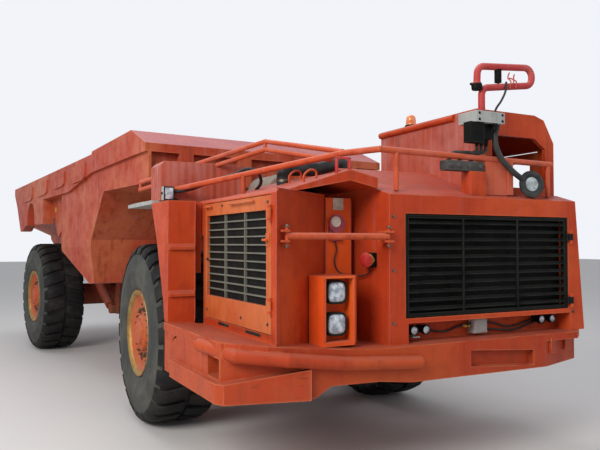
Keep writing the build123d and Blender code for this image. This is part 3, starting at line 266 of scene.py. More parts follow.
chromeRod = metal("chromeRod", (0.62, 0.62, 0.64), (0.5, 0.49, 0.47), 0.12)
boltSteel = metal("boltSteel", (0.2, 0.17, 0.14), (0.12, 0.07, 0.045), 0.45)
goldDust = metal("goldDust", (0.42, 0.27, 0.09), (0.3, 0.15, 0.06), 0.5, 12)
lampGlass = ribbedGlass("lampGlass", (0.2, 0.25, 0.31), (0.62, 0.67, 0.74), 30)
amberGlass = ribbedGlass("amberGlass", (0.8, 0.22, 0.02), (0.62, 0.13, 0.01), 45)
mirrorGlass = plainLook("mirrorGlass", (0.13, 0.15, 0.15), (0.3, 0.33, 0.33), 0.12, 22, 0.1, Metallic=1)
purpleRed = plainLook("purpleRed", (0.3, 0.035, 0.055), (0.2, 0.03, 0.05), 0.45)
paleFace = plainLook("paleFace", (0.55, 0.5, 0.42), (0.36, 0.31, 0.25), 0.5)
yellowCap = plainLook("yellowCap", (0.66, 0.42, 0.04), (0.42, 0.24, 0.04), 0.45)
dustyGrey = plainLook("dustyGrey", (0.16, 0.135, 0.11), (0.24, 0.2, 0.165), 0.6, 9, 0.2)
seatVinyl = plainLook("seatVinyl", (0.035, 0.036, 0.04), (0.06, 0.058, 0.056), 0.42, 55, 0.35)
weldBead = plainLook("weldBead", (0.46, 0.06, 0.022), (0.3, 0.045, 0.02), 0.5, 90, 0.8)
print("materials ready")


# mesh helpers
def smoothByAngle(piece, angle=38):
    for polygon in piece.data.polygons:
        polygon.use_smooth = True
    piece.data.set_sharp_from_angle(angle=radians(angle))


def finish(bm, name, body, material, place, recalc=False):
    bmesh.ops.transform(bm, matrix=place, verts=bm.verts)
    if recalc:
        bmesh.ops.recalc_face_normals(bm, faces=bm.faces)
    mesh = bpy.data.meshes.new(name)
    bm.to_mesh(mesh)
    bm.free()
    piece = bpy.data.objects.new(name, mesh)
    bpy.context.scene.collection.objects.link(piece)
    for one in (material if isinstance(material, (list, tuple)) else [material]):
        mesh.materials.append(one)
    smoothByAngle(piece)
    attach(piece, body)
    return piece


def block(bm, low, high, bevel):
    # a box between two corners with its edges rounded
    low, high = Vector(low), Vector(high)
    made = bmesh.ops.create_cube(bm, size=1)["verts"]
    bmesh.ops.scale(bm, vec=high - low, verts=made)
    edges = list({edge for vert in made for edge in vert.link_edges})
    made = bmesh.ops.bevel(bm, geom=edges, offset=bevel, segments=2, affect="EDGES", profile=0.5,
                           material=-1)["verts"]
    bmesh.ops.translate(bm, vec=(low + high) / 2, verts=made)


def drum(bm, start, end, radius, endRadius=None, segments=24, bevel=0.0):
    # a round bar or cone from start to end
    start, end = Vector(start), Vector(end)
    line = end - start
    turn = line.to_track_quat("Z", "Y").to_matrix().to_4x4()
    made = bmesh.ops.create_cone(bm, cap_ends=True, cap_tris=False, segments=segments, radius1=radius,
                                 radius2=radius if endRadius is None else endRadius,
                                 depth=line.length)["verts"]
    if bevel:
        rims = [edge for edge in {e for v in made for e in v.link_edges}
                if any(len(face.verts) > 4 for face in edge.link_faces)]
        made = set(made)
        made |= set(bmesh.ops.bevel(bm, geom=rims, offset=bevel, segments=2, affect="EDGES", profile=0.5,
                                    material=-1)["verts"])
        made = [v for v in made if v.is_valid]
    bmesh.ops.transform(bm, matrix=Matrix.Translation((start + end) / 2) @ turn, verts=made)


def bolt(bm, where, axis, size, height):
    # hexagon head on a washer
    where, axis = Vector(where), Vector(axis).normalized()
    drum(bm, where, where + axis * height * 0.25, size * 1.35, segments=16)
    drum(bm, where + axis * height * 0.25, where + axis * height, size, size * 0.94, 6, size * 0.12)


def lathe(bm, profile, centre, axis, side, steps=48):
    # spins (along, radius) points about an axis through the centre; side is any direction across it
    centre, axis, side = Vector(centre), Vector(axis).normalized(), Vector(side).normalized()
    ring = [bm.verts.new(centre + axis * along + side * radius) for along, radius in profile]
    edges = [bm.edges.new(pair) for pair in zip(ring, ring[1:])]
    bmesh.ops.spin(bm, geom=ring + edges, cent=centre, axis=axis, angle=2 * pi, steps=steps, use_merge=True)


def hose(name, points, radius, material=hoseRubber, sides=5, handle="AUTO"):
    # a round run on the front body, through points in its own coordinates
    curve = bpy.data.curves.new(name, "CURVE")
    curve.dimensions = "3D"
    curve.bevel_depth = radius
    curve.bevel_resolution = sides
    curve.resolution_u = 10
    curve.use_fill_caps = True
    line = curve.splines.new("BEZIER")
    line.bezier_points.add(len(points) - 1)
    for knot, point in zip(line.bezier_points, points):
        knot.co = frontPlace @ Vector(point)
        knot.handle_left_type = knot.handle_right_type = handle
    piece = bpy.data.objects.new(name, curve)
    bpy.context.scene.collection.objects.link(piece)
    curve.materials.append(material)
    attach(piece, "root")


def fit(bm, name, material, body="root"):
    # a piece of the front, modelled in the front body's own coordinates
    return finish(bm, name, body, material, frontPlace, True)


# finish of every CAD node
nodeFinishes = (
    (bodyPaint, "nose side_box fender_right fender_left left_body hood cab_shell"),
    (railPaint, "guard_rail"),
    (doorPaint, "side_door cab_door"),
    (lampOrangeAndPaintedLight, "lamp_box"),
    (roofPaint, "raised_box"),
    (bedPaint, "bed"),
    (bumperPaint, "bumper"),
    (framePaint, "front_frame rear_frame front_axle rear_axle dump_left_barrel dump_right_barrel"),
    (framePaint, "steer_left_barrel steer_right_barrel"),
    (rimPaint, "rim_front_left rim_front_right rim_rear_left rim_rear_right"),
    (pipePaint, "return_pipe"),
    (greyPaint, "pipe_box step work_lamp"),
    (blackSteel, "front_grille radiator side_door_grille"),
    (castIron, "engine"),
    (hoseRubber, "intake_elbow"),
    (chromeRod, "dump_left_rod dump_right_rod steer_left_rod steer_right_rod"),
)
for material, names in nodeFinishes:
    for name in names.split():
        nodes[name].data.materials.clear()
        nodes[name].data.materials.append(material)
        smoothByAngle(nodes[name], 30)

# nodes with a second finish on some faces: the part that hangs under the pipe box, the cab's wall
# towards the hood, and the rods in front of the door's screen
secondLook = {"hangsBelow": 2.7225, "cabWall": 0.7, "wallNear": 0.004, "rodsOutside": -1.2592}


def secondFinish(name, material, chosen):
    mesh = nodes[name].data
    mesh.materials.append(material)
    for polygon in mesh.polygons:
        if chosen(polygon, polygon.center.x - frontAxle.x):
            polygon.material_index = 1


secondFinish("pipe_box", blackSteel, lambda polygon, x: polygon.center.z < secondLook["hangsBelow"])
secondFinish("cab_shell", roofPaint, lambda polygon, x: polygon.normal.x < -0.99
             and abs(x - secondLook["cabWall"]) < secondLook["wallNear"])
secondFinish("side_door_grille", paleRods, lambda polygon, x: x < secondLook["rodsOutside"])
print("CAD nodes finished")

# tyres with worn rock lugs
tyreLook = {
    "lugCount": 26, "steps": 104,
    # (across, radius) from the outer bead over the crown; mirrored to the inner bead
    "side": [(0.238, 0.348), (0.262, 0.385), (0.288, 0.424), (0.306, 0.445), (0.317, 0.475),
             (0.3235, 0.53), (0.3245, 0.575), (0.329, 0.585), (0.3295, 0.625), (0.325, 0.635),
             (0.318, 0.7), (0.304, 0.762), (0.272, 0.815), (0.225, 0.838), (0.12, 0.843), (0.0, 0.844)],
    "lug": [(0.018, 0.8705), (0.11, 0.871), (0.19, 0.869), (0.246, 0.859), (0.288, 0.828), (0.313, 0.775),
            (0.3, 0.76), (0.262, 0.805), (0.215, 0.832), (0.018, 0.838)], "lugLength": 0.142, "lean": 0.26,
    "leanFrom": 0.17, "edge": 0.008, "edgeAngle": 0.9, "edgeAbove": 0.77, "treadFrom": 0.8,
}


def makeTyre(corner):
    look = tyreLook
    bm = bmesh.new()
    half = look["side"]
    loop = [*half, *[(-x, r) for x, r in reversed(half[:-1])]]
    ring = [bm.verts.new((x, 0, r)) for x, r in loop]
    edges = [bm.edges.new(pair) for pair in zip(ring, ring[1:] + ring[:1])]
    bmesh.ops.spin(bm, geom=ring + edges, cent=(0, 0, 0), axis=(1, 0, 0), angle=2 * pi, steps=look["steps"],
                   use_merge=True)
    for face in bm.faces:
        face.material_index = 1 if Vector((0,
                                           *face.calc_center_median().yz)).length > look["treadFrom"] else 0
    for bank in (1, -1):
        lug = bmesh.new()
        outline = [lug.verts.new((x * bank, 0, r)) for x, r in look["lug"]]
        lug.faces.new(outline)
        grown = bmesh.ops.extrude_face_region(lug, geom=lug.faces[:])["geom"]
        bmesh.ops.translate(lug, vec=(0, look["lugLength"], 0),
                            verts=[v for v in grown if isinstance(v, bmesh.types.BMVert)])
        bmesh.ops.translate(lug, vec=(0, -look["lugLength"] / 2, 0), verts=lug.verts)
        for vert in lug.verts:
            vert.co.y += (abs(vert.co.x) - look["leanFrom"]) * look["lean"]
        bmesh.ops.recalc_face_normals(lug, faces=lug.faces)
        corners = [e for e in lug.edges if e.is_manifold and e.calc_face_angle() > look["edgeAngle"]
                   and min(v.co.z for v in e.verts) > look["edgeAbove"]]
        bmesh.ops.bevel(lug, geom=corners, offset=look["edge"], segments=2, affect="EDGES", profile=0.5,
                        material=-1)
        if bank < 0:
            bmesh.ops.rotate(lug, cent=(0, 0, 0), matrix=Matrix.Rotation(pi / look["lugCount"], 3, "X"),
                             verts=lug.verts)
        for face in lug.faces:
            face.material_index = 1
        bmesh.ops.spin(lug, geom=lug.verts[:] + lug.edges[:] + lug.faces[:], cent=(0, 0, 0), axis=(1, 0, 0),
                       angle=2 * pi * (1 - 1 / look["lugCount"]), steps=look["lugCount"] - 1,
                       use_duplicate=True)
        held = bpy.data.meshes.new("lugs")
        lug.to_mesh(held)
        lug.free()
        bm.from_mesh(held)
        bpy.data.meshes.remove(held)
    bmesh.ops.recalc_face_normals(bm, faces=bm.faces)
    turn = Matrix.Rotation(parkTurn if "rear" in corner else 0, 4, "Z")
    outward = Matrix.Rotation(0 if "left" in corner else pi, 4, "Z")
    place = Matrix.Translation(wheelAt[corner]) @ turn @ outward
    piece = finish(bm, "tyre_detail_" + corner, "wheel_" + corner, [sidewallRubber, treadRubber],
                   place)
    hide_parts("tyre_" + corner)
    return place


# wheel trim: lock ring, nuts, black discs of painted shade for the hand holes, and hub cover
wheelLook = {
    "dishFace": 0.2345, "nuts": 20, "nutRing": 0.232, "nutSize": 0.013, "nutHeight": 0.024,
    "studHeight": 0.036, "studRadius": 0.007, "hubFace": 0.27, "hubBolts": 12, "boltRing": 0.139,
    "boltSize": 0.009, "boltHeight": 0.014, "holes": 12, "holeRing": 0.282, "holeStretch": 1.5,
    # (across, radius) points
    "lockRing": [(0.262, 0.36), (0.284, 0.372), (0.296, 0.384), (0.306, 0.404), (0.306, 0.416),
                 (0.298, 0.42), (0.28, 0.396), (0.262, 0.366), (0.262, 0.36)],
    "holeShadeDisc": [(-0.006, 0.0), (0.0042, 0.0), (0.0042, 0.016), (0.0012, 0.02), (-0.006, 0.02)],
    "hub": [(-0.03, 0.0), (-0.03, 0.168), (0.002, 0.168), (0.008, 0.16), (0.01, 0.118), (0.028, 0.108),
            (0.032, 0.096), (0.032, 0.03), (0.038, 0.024), (0.038, 0.0)],
}


def makeWheelTrim(corner, place):
    look = wheelLook
    body = "wheel_" + corner
    face, hub = look["dishFace"], look["hubFace"]
    outward, up = (1, 0, 0), (0, 0, 1)
    bm = bmesh.new()
    lathe(bm, look["lockRing"], (0, 0, 0), outward, up, 72)
    finish(bm, "lock_ring_" + corner, body, goldDust, place, True)
    bm = bmesh.new()
    for row in range(look["nuts"]):
        angle = 2 * pi * row / look["nuts"]
        spot = (face, look["nutRing"] * cos(angle), look["nutRing"] * sin(angle))
        bolt(bm, spot, outward, look["nutSize"], look["nutHeight"])
        drum(bm, spot, (face + look["studHeight"], *spot[1:]), look["studRadius"], segments=8)
    finish(bm, "wheel_nuts_" + corner, body, boltSteel, place, True)
    # the hand holes are not cut: each is a black disc on the dish, painted shade for the opening
    bm = bmesh.new()
    for row in range(look["holes"]):
        turn = Matrix.Rotation(2 * pi * (row + 0.5) / look["holes"], 4, "X")
        lathe(bm, look["holeShadeDisc"], (face, 0, look["holeRing"]), outward, up, 16)
        ring = [v for v in bm.verts if not v.tag]     # the rims already in place are tagged
        middle = Matrix.Translation((0, 0, -look["holeRing"]))
        bmesh.ops.scale(bm, vec=(1, look["holeStretch"], 1), space=middle, verts=ring)
        bmesh.ops.transform(bm, matrix=turn, verts=ring)
        for vert in ring:
            vert.tag = True
    finish(bm, "hand_hole_shade_" + corner, body, blackSteel, place, True)
    bm = bmesh.new()
    lathe(bm, [(hub + along, radius) for along, radius in look["hub"]], (0, 0, 0), outward, up, 48)
    for row in range(look["hubBolts"]):
        angle = 2 * pi * (row + 0.5) / look["hubBolts"]
        spot = (hub + 0.008, look["boltRing"] * cos(angle), look["boltRing"] * sin(angle))
        bolt(bm, spot, outward, look["boltSize"], look["boltHeight"])
    finish(bm, "hub_cover_" + corner, body, rimPaint, place, True)


for corner in wheelAt:
    makeWheelTrim(corner, makeTyre(corner))
print("wheels done")


def stepped(bm, centre, steps, power=4, segments=32):
    # loops of a rounded square, (half width, place along Y), closed at both ends
    ring = bmesh.ops.create_circle(bm, segments=segments, radius=1)["verts"]
    half, along = steps[0]
    for vert in ring:
        reach = half * (abs(vert.co.x) ** power + abs(vert.co.y) ** power) ** (-1 / power)
        vert.co = Vector((vert.co.x * reach, along, vert.co.y * reach))
    edges = list({edge for vert in ring for edge in vert.link_edges})
    first, every = edges, list(ring)
    for (half, along), (before, _) in zip(steps[1:], steps):
        grown = bmesh.ops.extrude_edge_only(bm, edges=edges)["geom"]
        ring = [v for v in grown if isinstance(v, bmesh.types.BMVert)]
        edges = [e for e in grown if isinstance(e, bmesh.types.BMEdge) and all(v in ring for v in e.verts)]
        for vert in ring:
            vert.co = Vector((vert.co.x * half / before, along, vert.co.z * half / before))
        every += ring
    bmesh.ops.edgeloop_fill(bm, edges=first)
    bmesh.ops.edgeloop_fill(bm, edges=edges)
    bmesh.ops.translate(bm, vec=Vector(centre), verts=every)


# headlamps in the lamp box
lampLook = {"x": -0.772, "heights": (1.18, 1.405), "rear": -2.402, "face": -2.475, "half": 0.084}


def makeHeadlamps():
    look = lampLook
    bezel, glass = bmesh.new(), bmesh.new()
    half, face = look["half"], look["face"]
    for height in look["heights"]:
        spot = (look["x"], 0, height)
        stepped(bezel, spot, [(half - 0.004, look["rear"]), (half, face + 0.02), (half, face),
                              (half - 0.004, face - 0.006), (half - 0.012, face - 0.006),
                              (half - 0.016, face + 0.004)])
        stepped(glass, spot, [(half - 0.0155, face + 0.0045), (half - 0.0155, face - 0.001),
                              (half - 0.021, face - 0.007), (half - 0.036, face - 0.012),
                              (half - 0.058, face - 0.015)])
    bezelPiece = fit(bezel, "headlamp_bezels", blackSteel)
    fit(glass, "headlamp_glasses", lampGlass)
    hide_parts("headlamps")


makeHeadlamps()

# fittings on the pillar beside the lamp box
pillarLook = {
    "front": -2.133, "plate": (-0.557, 2.054), "plateSize": 0.092, "horn": (-0.591, 1.9),
    "cableRadius": 0.0055,
    # (ahead, radius) points of the horn
    "bell": ((0, 0), (0, 0.052), (0.028, 0.055), (0.04, 0.07), (0.052, 0.07), (0.052, 0)),
    "cap": ((0.0525, 0), (0.0525, 0.04), (0.056, 0.042), (0.062, 0.038), (0.059, 0.026), (0.064, 0.014),
            (0.066, 0.0)),
    # (left, ahead, down) from the horn
    "cable": ((0, 0.014, 0.128), (0.01, 0.016, 0.2), (-0.004, 0.01, 0.29), (0.04, 0.009, 0.37),
              (0.12, 0.012, 0.392), (0.19, 0.03, 0.4), (0.205, 0.1, 0.395), (0.212, 0.15, 0.375),
              (0.214, 0.166, 0.318)),
}


def makePillarFittings():
    look = pillarLook
    front = look["front"] - 0.0008
    x, z = look["plate"]
    half = look["plateSize"] / 2
    bm = bmesh.new()
    block(bm, (x - half, front - 0.004, z - half), (x + half, front, z + half), 0.0015)
    for dx in (-half + 0.01, half - 0.01):
        for dz in (-half + 0.01, half - 0.01):
            drum(bm, (x + dx, front - 0.004, z + dz), (x + dx, front - 0.007, z + dz), 0.004, segments=12)
    fit(bm, "pillar_plate", paleFace)
    x, z = look["horn"]
    bm = bmesh.new()
    block(bm, (x - 0.055, front - 0.03, z - 0.13), (x + 0.055, front, z - 0.01), 0.006)
    lathe(bm, look["bell"], (x, front, z), ahead, leftward, 36)
    for dz in (-0.115, -0.03):
        bolt(bm, (x + 0.04, front - 0.03, z + dz), ahead, 0.006, 0.008)
    fit(bm, "horn_body", purpleRed)
    bm = bmesh.new()
    lathe(bm, look["cap"], (x - 0.016, front, z + 0.014), ahead, leftward, 36)
    fit(bm, "horn_face", paleFace)
    hose("horn_cable", [(x + dx, front - dy, z - dz) for dx, dy, dz in look["cable"]], look["cableRadius"])


makePillarFittings()

knobLook = {
    "at": (-0.362, -2.3, 1.625), "flank": (-1, -0.094, 0), "sunk": 0.006, "towardsNose": -0.32,
    # (height, radius) points
    "collar": [(0.02, 0), (0.02, 0.046), (0.048, 0.046), (0.05, 0.04), (0.05, 0)],
    "button": [(0.0505, 0), (0.0505, 0.026), (0.066, 0.028), (0.07, 0.052), (0.08, 0.056), (0.094, 0.046),
               (0.101, 0.024), (0.103, 0.0)],
}


def makeStopKnob():
    # red mushroom knob on the slanted flank of the nose
    look = knobLook
    normal = Vector(look["flank"]).normalized()
    seat = Vector(look["at"]) - normal * look["sunk"]
    out = (normal + Vector((0, look["towardsNose"], 0))).normalized()
    bm = bmesh.new()
    block(bm, seat - Vector((0.03, 0.055, 0.055)), seat + Vector((0.012, 0.055, 0.055)), 0.006)
    fit(bm, "knob_bracket", blackSteel)
    bm = bmesh.new()
    lathe(bm, look["collar"], seat, out, upward, 28)
    fit(bm, "knob_collar", yellowCap)
    bm = bmesh.new()
    lathe(bm, look["button"], seat, out, upward, 32)
    fit(bm, "stop_knob", redPaint)


makeStopKnob()

# lamps, junction box and cables in the recess under the grille
recessLook = {
    "wall": -2.331, "lamps": ((-0.059, 1.086), (0.056, 1.086), (1.297, 1.101), (1.424, 1.101)),
    "lampRadius": 0.038, "box": ((0.556, 1.02), (0.699, 1.14)), "glands": (0.49, 0.525),
    "glandHeight": 1.083, "cableRadius": 0.008, "shelf": ((-0.075, 1.03), (-0.005, 1.038)),
    # (start, end, sag) of each cable, points as (x, z)
    "cables": (((0.699, 1.11), (1.275, 1.095), 0.045), ((0.699, 1.05), (1.405, 1.085), 0.03),
               ((0.556, 1.1), (0.08, 1.08), 0.03)),
}


def makeRecess():
    look = recessLook
    wall, radius = look["wall"], look["lampRadius"]
    shells, glass = bmesh.new(), bmesh.new()
    for x, z in look["lamps"]:
        block(shells, (x - 0.022, wall - 0.035, z - 0.028), (x + 0.022, wall, z + 0.028), 0.004)
        lathe(shells, [(0.03, 0), (0.035, 0.024), (0.075, radius), (0.105, radius), (0.105, radius - 0.006),
                       (0.1, radius - 0.008), (0.1, 0)], (x, wall, z), ahead, leftward, 28)
        lathe(glass, [(0.1005, 0), (0.1005, radius - 0.0085), (0.106, 0.022), (0.108, 0)], (x, wall, z),
              ahead, leftward, 28)
    fit(shells, "recess_lamps", blackSteel)
    fit(glass, "recess_lamp_glasses", lampGlass)
    bm = bmesh.new()
    (x0, z0), (x1, z1) = look["box"]
    block(bm, (x0, wall - 0.075, z0), (x1, wall, z1), 0.006)
    block(bm, (x0 + 0.006, wall - 0.082, z0 + 0.006), (x1 - 0.006, wall - 0.0745, z1 - 0.006), 0.003)
    for x in (x0 + 0.014, x1 - 0.014):
        for z in (z0 + 0.014, z1 - 0.014):
            bolt(bm, (x, wall - 0.082, z), ahead, 0.005, 0.006)
    (x0, z0), (x1, z1) = look["shelf"]
    block(bm, (x0, wall - 0.1, z0), (x1, wall, z1), 0.002)
    fit(bm, "junction_box", greyPaint)
    bm = bmesh.new()
    z = look["glandHeight"]
    for x in look["glands"]:
        drum(bm, (x, wall, z), (x, wall - 0.04, z), 0.013, segments=20, bevel=0.002)
        drum(bm, (x, wall - 0.04, z), (x, wall - 0.055, z), 0.009, segments=16)
    fit(bm, "recess_fittings", yellowCap)
    for row, ((x0, z0), (x1, z1), sag) in enumerate(look["cables"]):
        path = [(x0, wall - 0.04, z0), (x0 + (x1 - x0) * 0.25, wall - 0.025, z0 - sag * 0.6),
                ((x0 + x1) / 2, wall - 0.018, min(z0, z1) - sag),
                (x1 - (x1 - x0) * 0.15, wall - 0.02, z1 - sag * 0.4), (x1, wall - 0.012, z1)]
        hose("recess_cable_%d" % (row + 1), path, look["cableRadius"])


makeRecess()

# grille posts and the door's handles, latch and bolts
grilleLook = {"posts": (0.376, 0.956), "front": -2.498, "low": 1.222, "high": 1.942, "half": 0.007}
bm = bmesh.new()
for x in grilleLook["posts"]:
    block(bm, (x - grilleLook["half"], grilleLook["front"], grilleLook["low"]),
          (x + grilleLook["half"], grilleLook["front"] + 0.01, grilleLook["high"]), 0.002)
fit(bm, "grille_posts", blackSteel, "front_grille")

doorLook = {
    "face": -1.2852, "handles": ((-2.215, -1.76), (-1.35, -1.2)), "handleHeight": 2.052,
    "latch": (-2.425, 1.774),
    "bolts": ((-2.42, 1.2), (-1.95, 1.2), (-1.21, 1.2), (-2.42, 2.035), (-1.56, 2.052), (-1.21, 1.62)),
}


def makeDoorFittings():
    look = doorLook
    face = look["face"]
    bm = bmesh.new()
    height = look["handleHeight"]
    for y0, y1 in look["handles"]:
        for y in (y0 + 0.02, y1 - 0.02):
            drum(bm, (face, y, height), (face - 0.024, y, height), 0.007, segments=14)
            drum(bm, (face, y, height), (face - 0.004, y, height), 0.013, segments=14)
        drum(bm, (face - 0.024, y0, height), (face - 0.024, y1, height), 0.008, segments=16, bevel=0.002)
    y, z = look["latch"]
    block(bm, (face - 0.006, y - 0.03, z - 0.045), (face, y + 0.03, z + 0.045), 0.002)
    drum(bm, (face, y, z), (face - 0.028, y, z), 0.01, segments=16)
    block(bm, (face - 0.034, y - 0.036, z - 0.008), (face - 0.024, y + 0.036, z + 0.008), 0.003)
    fit(bm, "door_handles", doorPaint, "side_door")
    bm = bmesh.new()
    for y, z in look["bolts"]:
        bolt(bm, (face, y, z), (-1, 0, 0), 0.009, 0.009)
    fit(bm, "door_bolts", boltSteel, "side_door")


makeDoorFittings()

# black strips at the foot of the side box, painted shade for the drain slots, and bolts on the guard bar's
# ears and the nose
slotLook = {
    "face": -1.2852, "proud": -1.2885, "low": 1.1, "high": 1.122, "runs": ((-1.7, -1.48), (-2.3, -2.04)),
}
# the drain slots are not cut: each is a thin black strip on the face, painted shade for the opening
bm = bmesh.new()
for y0, y1 in slotLook["runs"]:
    block(bm, (slotLook["proud"], y0, slotLook["low"]), (slotLook["face"], y1, slotLook["high"]), 0.0015)
fit(bm, "drain_slot_shade", blackSteel)

frontBoltLook = {
    "ears": ((-1.2, -2.54), (-0.365, -2.532)), "earTop": 1.862, "earFoot": 1.738, "noseFace": -2.5003,
    "nose": ((-0.3, 1.16), (-0.3, 1.55), (-0.3, 1.95), (1.6, 1.16)),
}
bm = bmesh.new()
for x, y in frontBoltLook["ears"]:
    bolt(bm, (x, y, frontBoltLook["earTop"]), upward, 0.017, 0.016)
    bolt(bm, (x, y, frontBoltLook["earFoot"]), (0, 0, -1), 0.017, 0.016)
for x, z in frontBoltLook["nose"]:
    bolt(bm, (x, frontBoltLook["noseFace"], z), ahead, 0.01, 0.01)
fit(bm, "front_bolts", boltSteel)
print("lamps, pillar and doors done")

# ribbed air hose, its clamps and the small handles on the hood
hoodLook = {
    "hoseStart": (-0.655, -1.5526, 2.3771), "hoseEnd": (-0.44, -1.5594, 2.3844), "rings": 11,
    "handles": ((-0.727, -1.74, 2.249), (-0.837, -2.197, 2.206)), "frame": (-0.64, -2.345, 2.284),
    "slope": 0.386, "clamps": ((-0.74, -1.55, 2.272), (-0.15, -1.58, 2.3)),
}


def makeHoodFittings():
    look = hoodLook
    start, end = Vector(look["hoseStart"]), Vector(look["hoseEnd"])
    axis = (end - start).normalized()
    bm = bmesh.new()
    for row in range(look["rings"]):
        lathe(bm, [(-0.006, 0.0545), (-0.004, 0.0585), (0.004, 0.0585), (0.006, 0.0545)],
              start + (end - start) * row / (look["rings"] - 1), axis, upward, 32)
    fit(bm, "hose_ribs", hoseRubber)
    bm = bmesh.new()
    for spot in look["clamps"]:
        lathe(bm, [(-0.01, 0.055), (-0.01, 0.059), (0.01, 0.059), (0.01, 0.055), (-0.01, 0.055)], spot,
              upward, leftward, 36)
        block(bm, Vector(spot) + Vector((-0.014, -0.078, -0.008)),
              Vector(spot) + Vector((0.014, -0.058, 0.008)), 0.003)
    fit(bm, "hose_clamps", boltSteel)
    for row, (x, y, z) in enumerate(look["handles"]):
        slope = look["slope"]
        path = [(x - 0.05, y, z - 0.05 * slope - 0.004), (x - 0.045, y, z + 0.055),
                (x + 0.045, y, z + 0.085), (x + 0.05, y, z + 0.05 * slope - 0.004)]
        hose("hood_handle_%d" % (row + 1), path, 0.009, bodyPaint)
    x, y, z = look["frame"]
    bm = bmesh.new()
    for dx in (-0.055, 0.055):
        block(bm, (x + dx - 0.008, y - 0.012, z - 0.028), (x + dx + 0.008, y + 0.012, z + 0.1), 0.003)
    block(bm, (x - 0.063, y - 0.012, z + 0.088), (x + 0.063, y + 0.012, z + 0.104), 0.003)
    fit(bm, "hood_frame", redPaint)


makeHoodFittings()

# air cleaner behind the hood's lip, and the work lamp's lead to it
airLook = {
    "at": (-0.5, -0.78, 2.235), "length": 0.46, "radius": 0.155, "feet": (-0.14, 0.14),
    # (from the end, over the radius) points
    "end": ((0.02, -0.008), (0.05, 0), (0.052, 0.004), (0.066, 0.004), (0.068, 0)),
    "lead": ((-1.4295, -0.7, 2.215), (-1.3, -0.76, 2.235), (-1.16, -0.95, 2.3), (-1.045, -1.2, 2.345),
             (-0.93, -1.38, 2.372), (-0.86, -1.36, 2.3), (-0.84, -1.2, 2.205)), "leadRadius": 0.014,
}
bm = bmesh.new()
half, radius = airLook["length"] / 2, airLook["radius"]
front = [(-half, 0), (-half, radius - 0.03)]
front += [(-half + along, radius + over) for along, over in airLook["end"]]
lathe(bm, front + [(-along, over) for along, over in reversed(front)], airLook["at"], (0, 1, 0), upward, 48)
for y in airLook["feet"]:
    spot = Vector(airLook["at"]) + Vector((0, y, 0))
    block(bm, spot + Vector((-0.12, -0.02, -0.2)), spot + Vector((0.12, 0.02, -0.09)), 0.004)
fit(bm, "air_cleaner", dustyGrey)
hose("side_lead", airLook["lead"], airLook["leadRadius"])
print("hood done")

# valve block under the pipe box, hoses to the valve behind the rail, and the pipe's end cap, stay and ties
pipeLook = {
    "boxLow": 2.7247, "valve": (0.56, -2.47, 2.6), "valveSize": (0.16, 0.1, 0.1245),
    "coupling": (0.604, -2.41, 3.03), "boxFace": -2.5203,
    "boxBolts": ((0.53, 2.745), (0.53, 2.795), (0.775, 2.745), (0.775, 2.795)), "plug": (0.71, -2.5),
    "railValve": ((0.27, -2.43, 2.335), (0.66, -2.335, 2.415)), "hoseEnds": (0.33, 0.44, 0.56),
    "caps": (0.3, 0.385, 0.5, 0.615), "stand": ((0.505, -2.44, 2.125), (0.675, -2.325, 2.335)),
    "stay": ((0.812, -0.02, 3.09), (0.862, 0.02, 3.245)), "nutAt": (-2.38, 2.415), "capAt": (-2.43, 2.375),
    "hoseFrom": (0.03, 0.08, 0.13), "hoseRadius": 0.012, "tieRadius": 0.0055, "leadRadius": 0.009,
    # (along the pipe, lean) of the ties, and (x, from the pipe's y, z) points of the lead
    "ties": ((0.0, 0.02), (0.035, -0.03), (0.065, 0.012)),
    "lead": ((0.9, -0.03, 3.1), (0.885, -0.04, 3.03), (0.845, -0.03, 2.94), (0.79, -0.02, 2.86),
             (0.776, -0.02, 2.816)),
    # (height, radius) points
    "endCap": ((-0.024, 0), (-0.024, 0.036), (-0.018, 0.042), (0.004, 0.045), (0.026, 0.043),
               (0.03, 0.038), (0.03, 0.0365)),
}


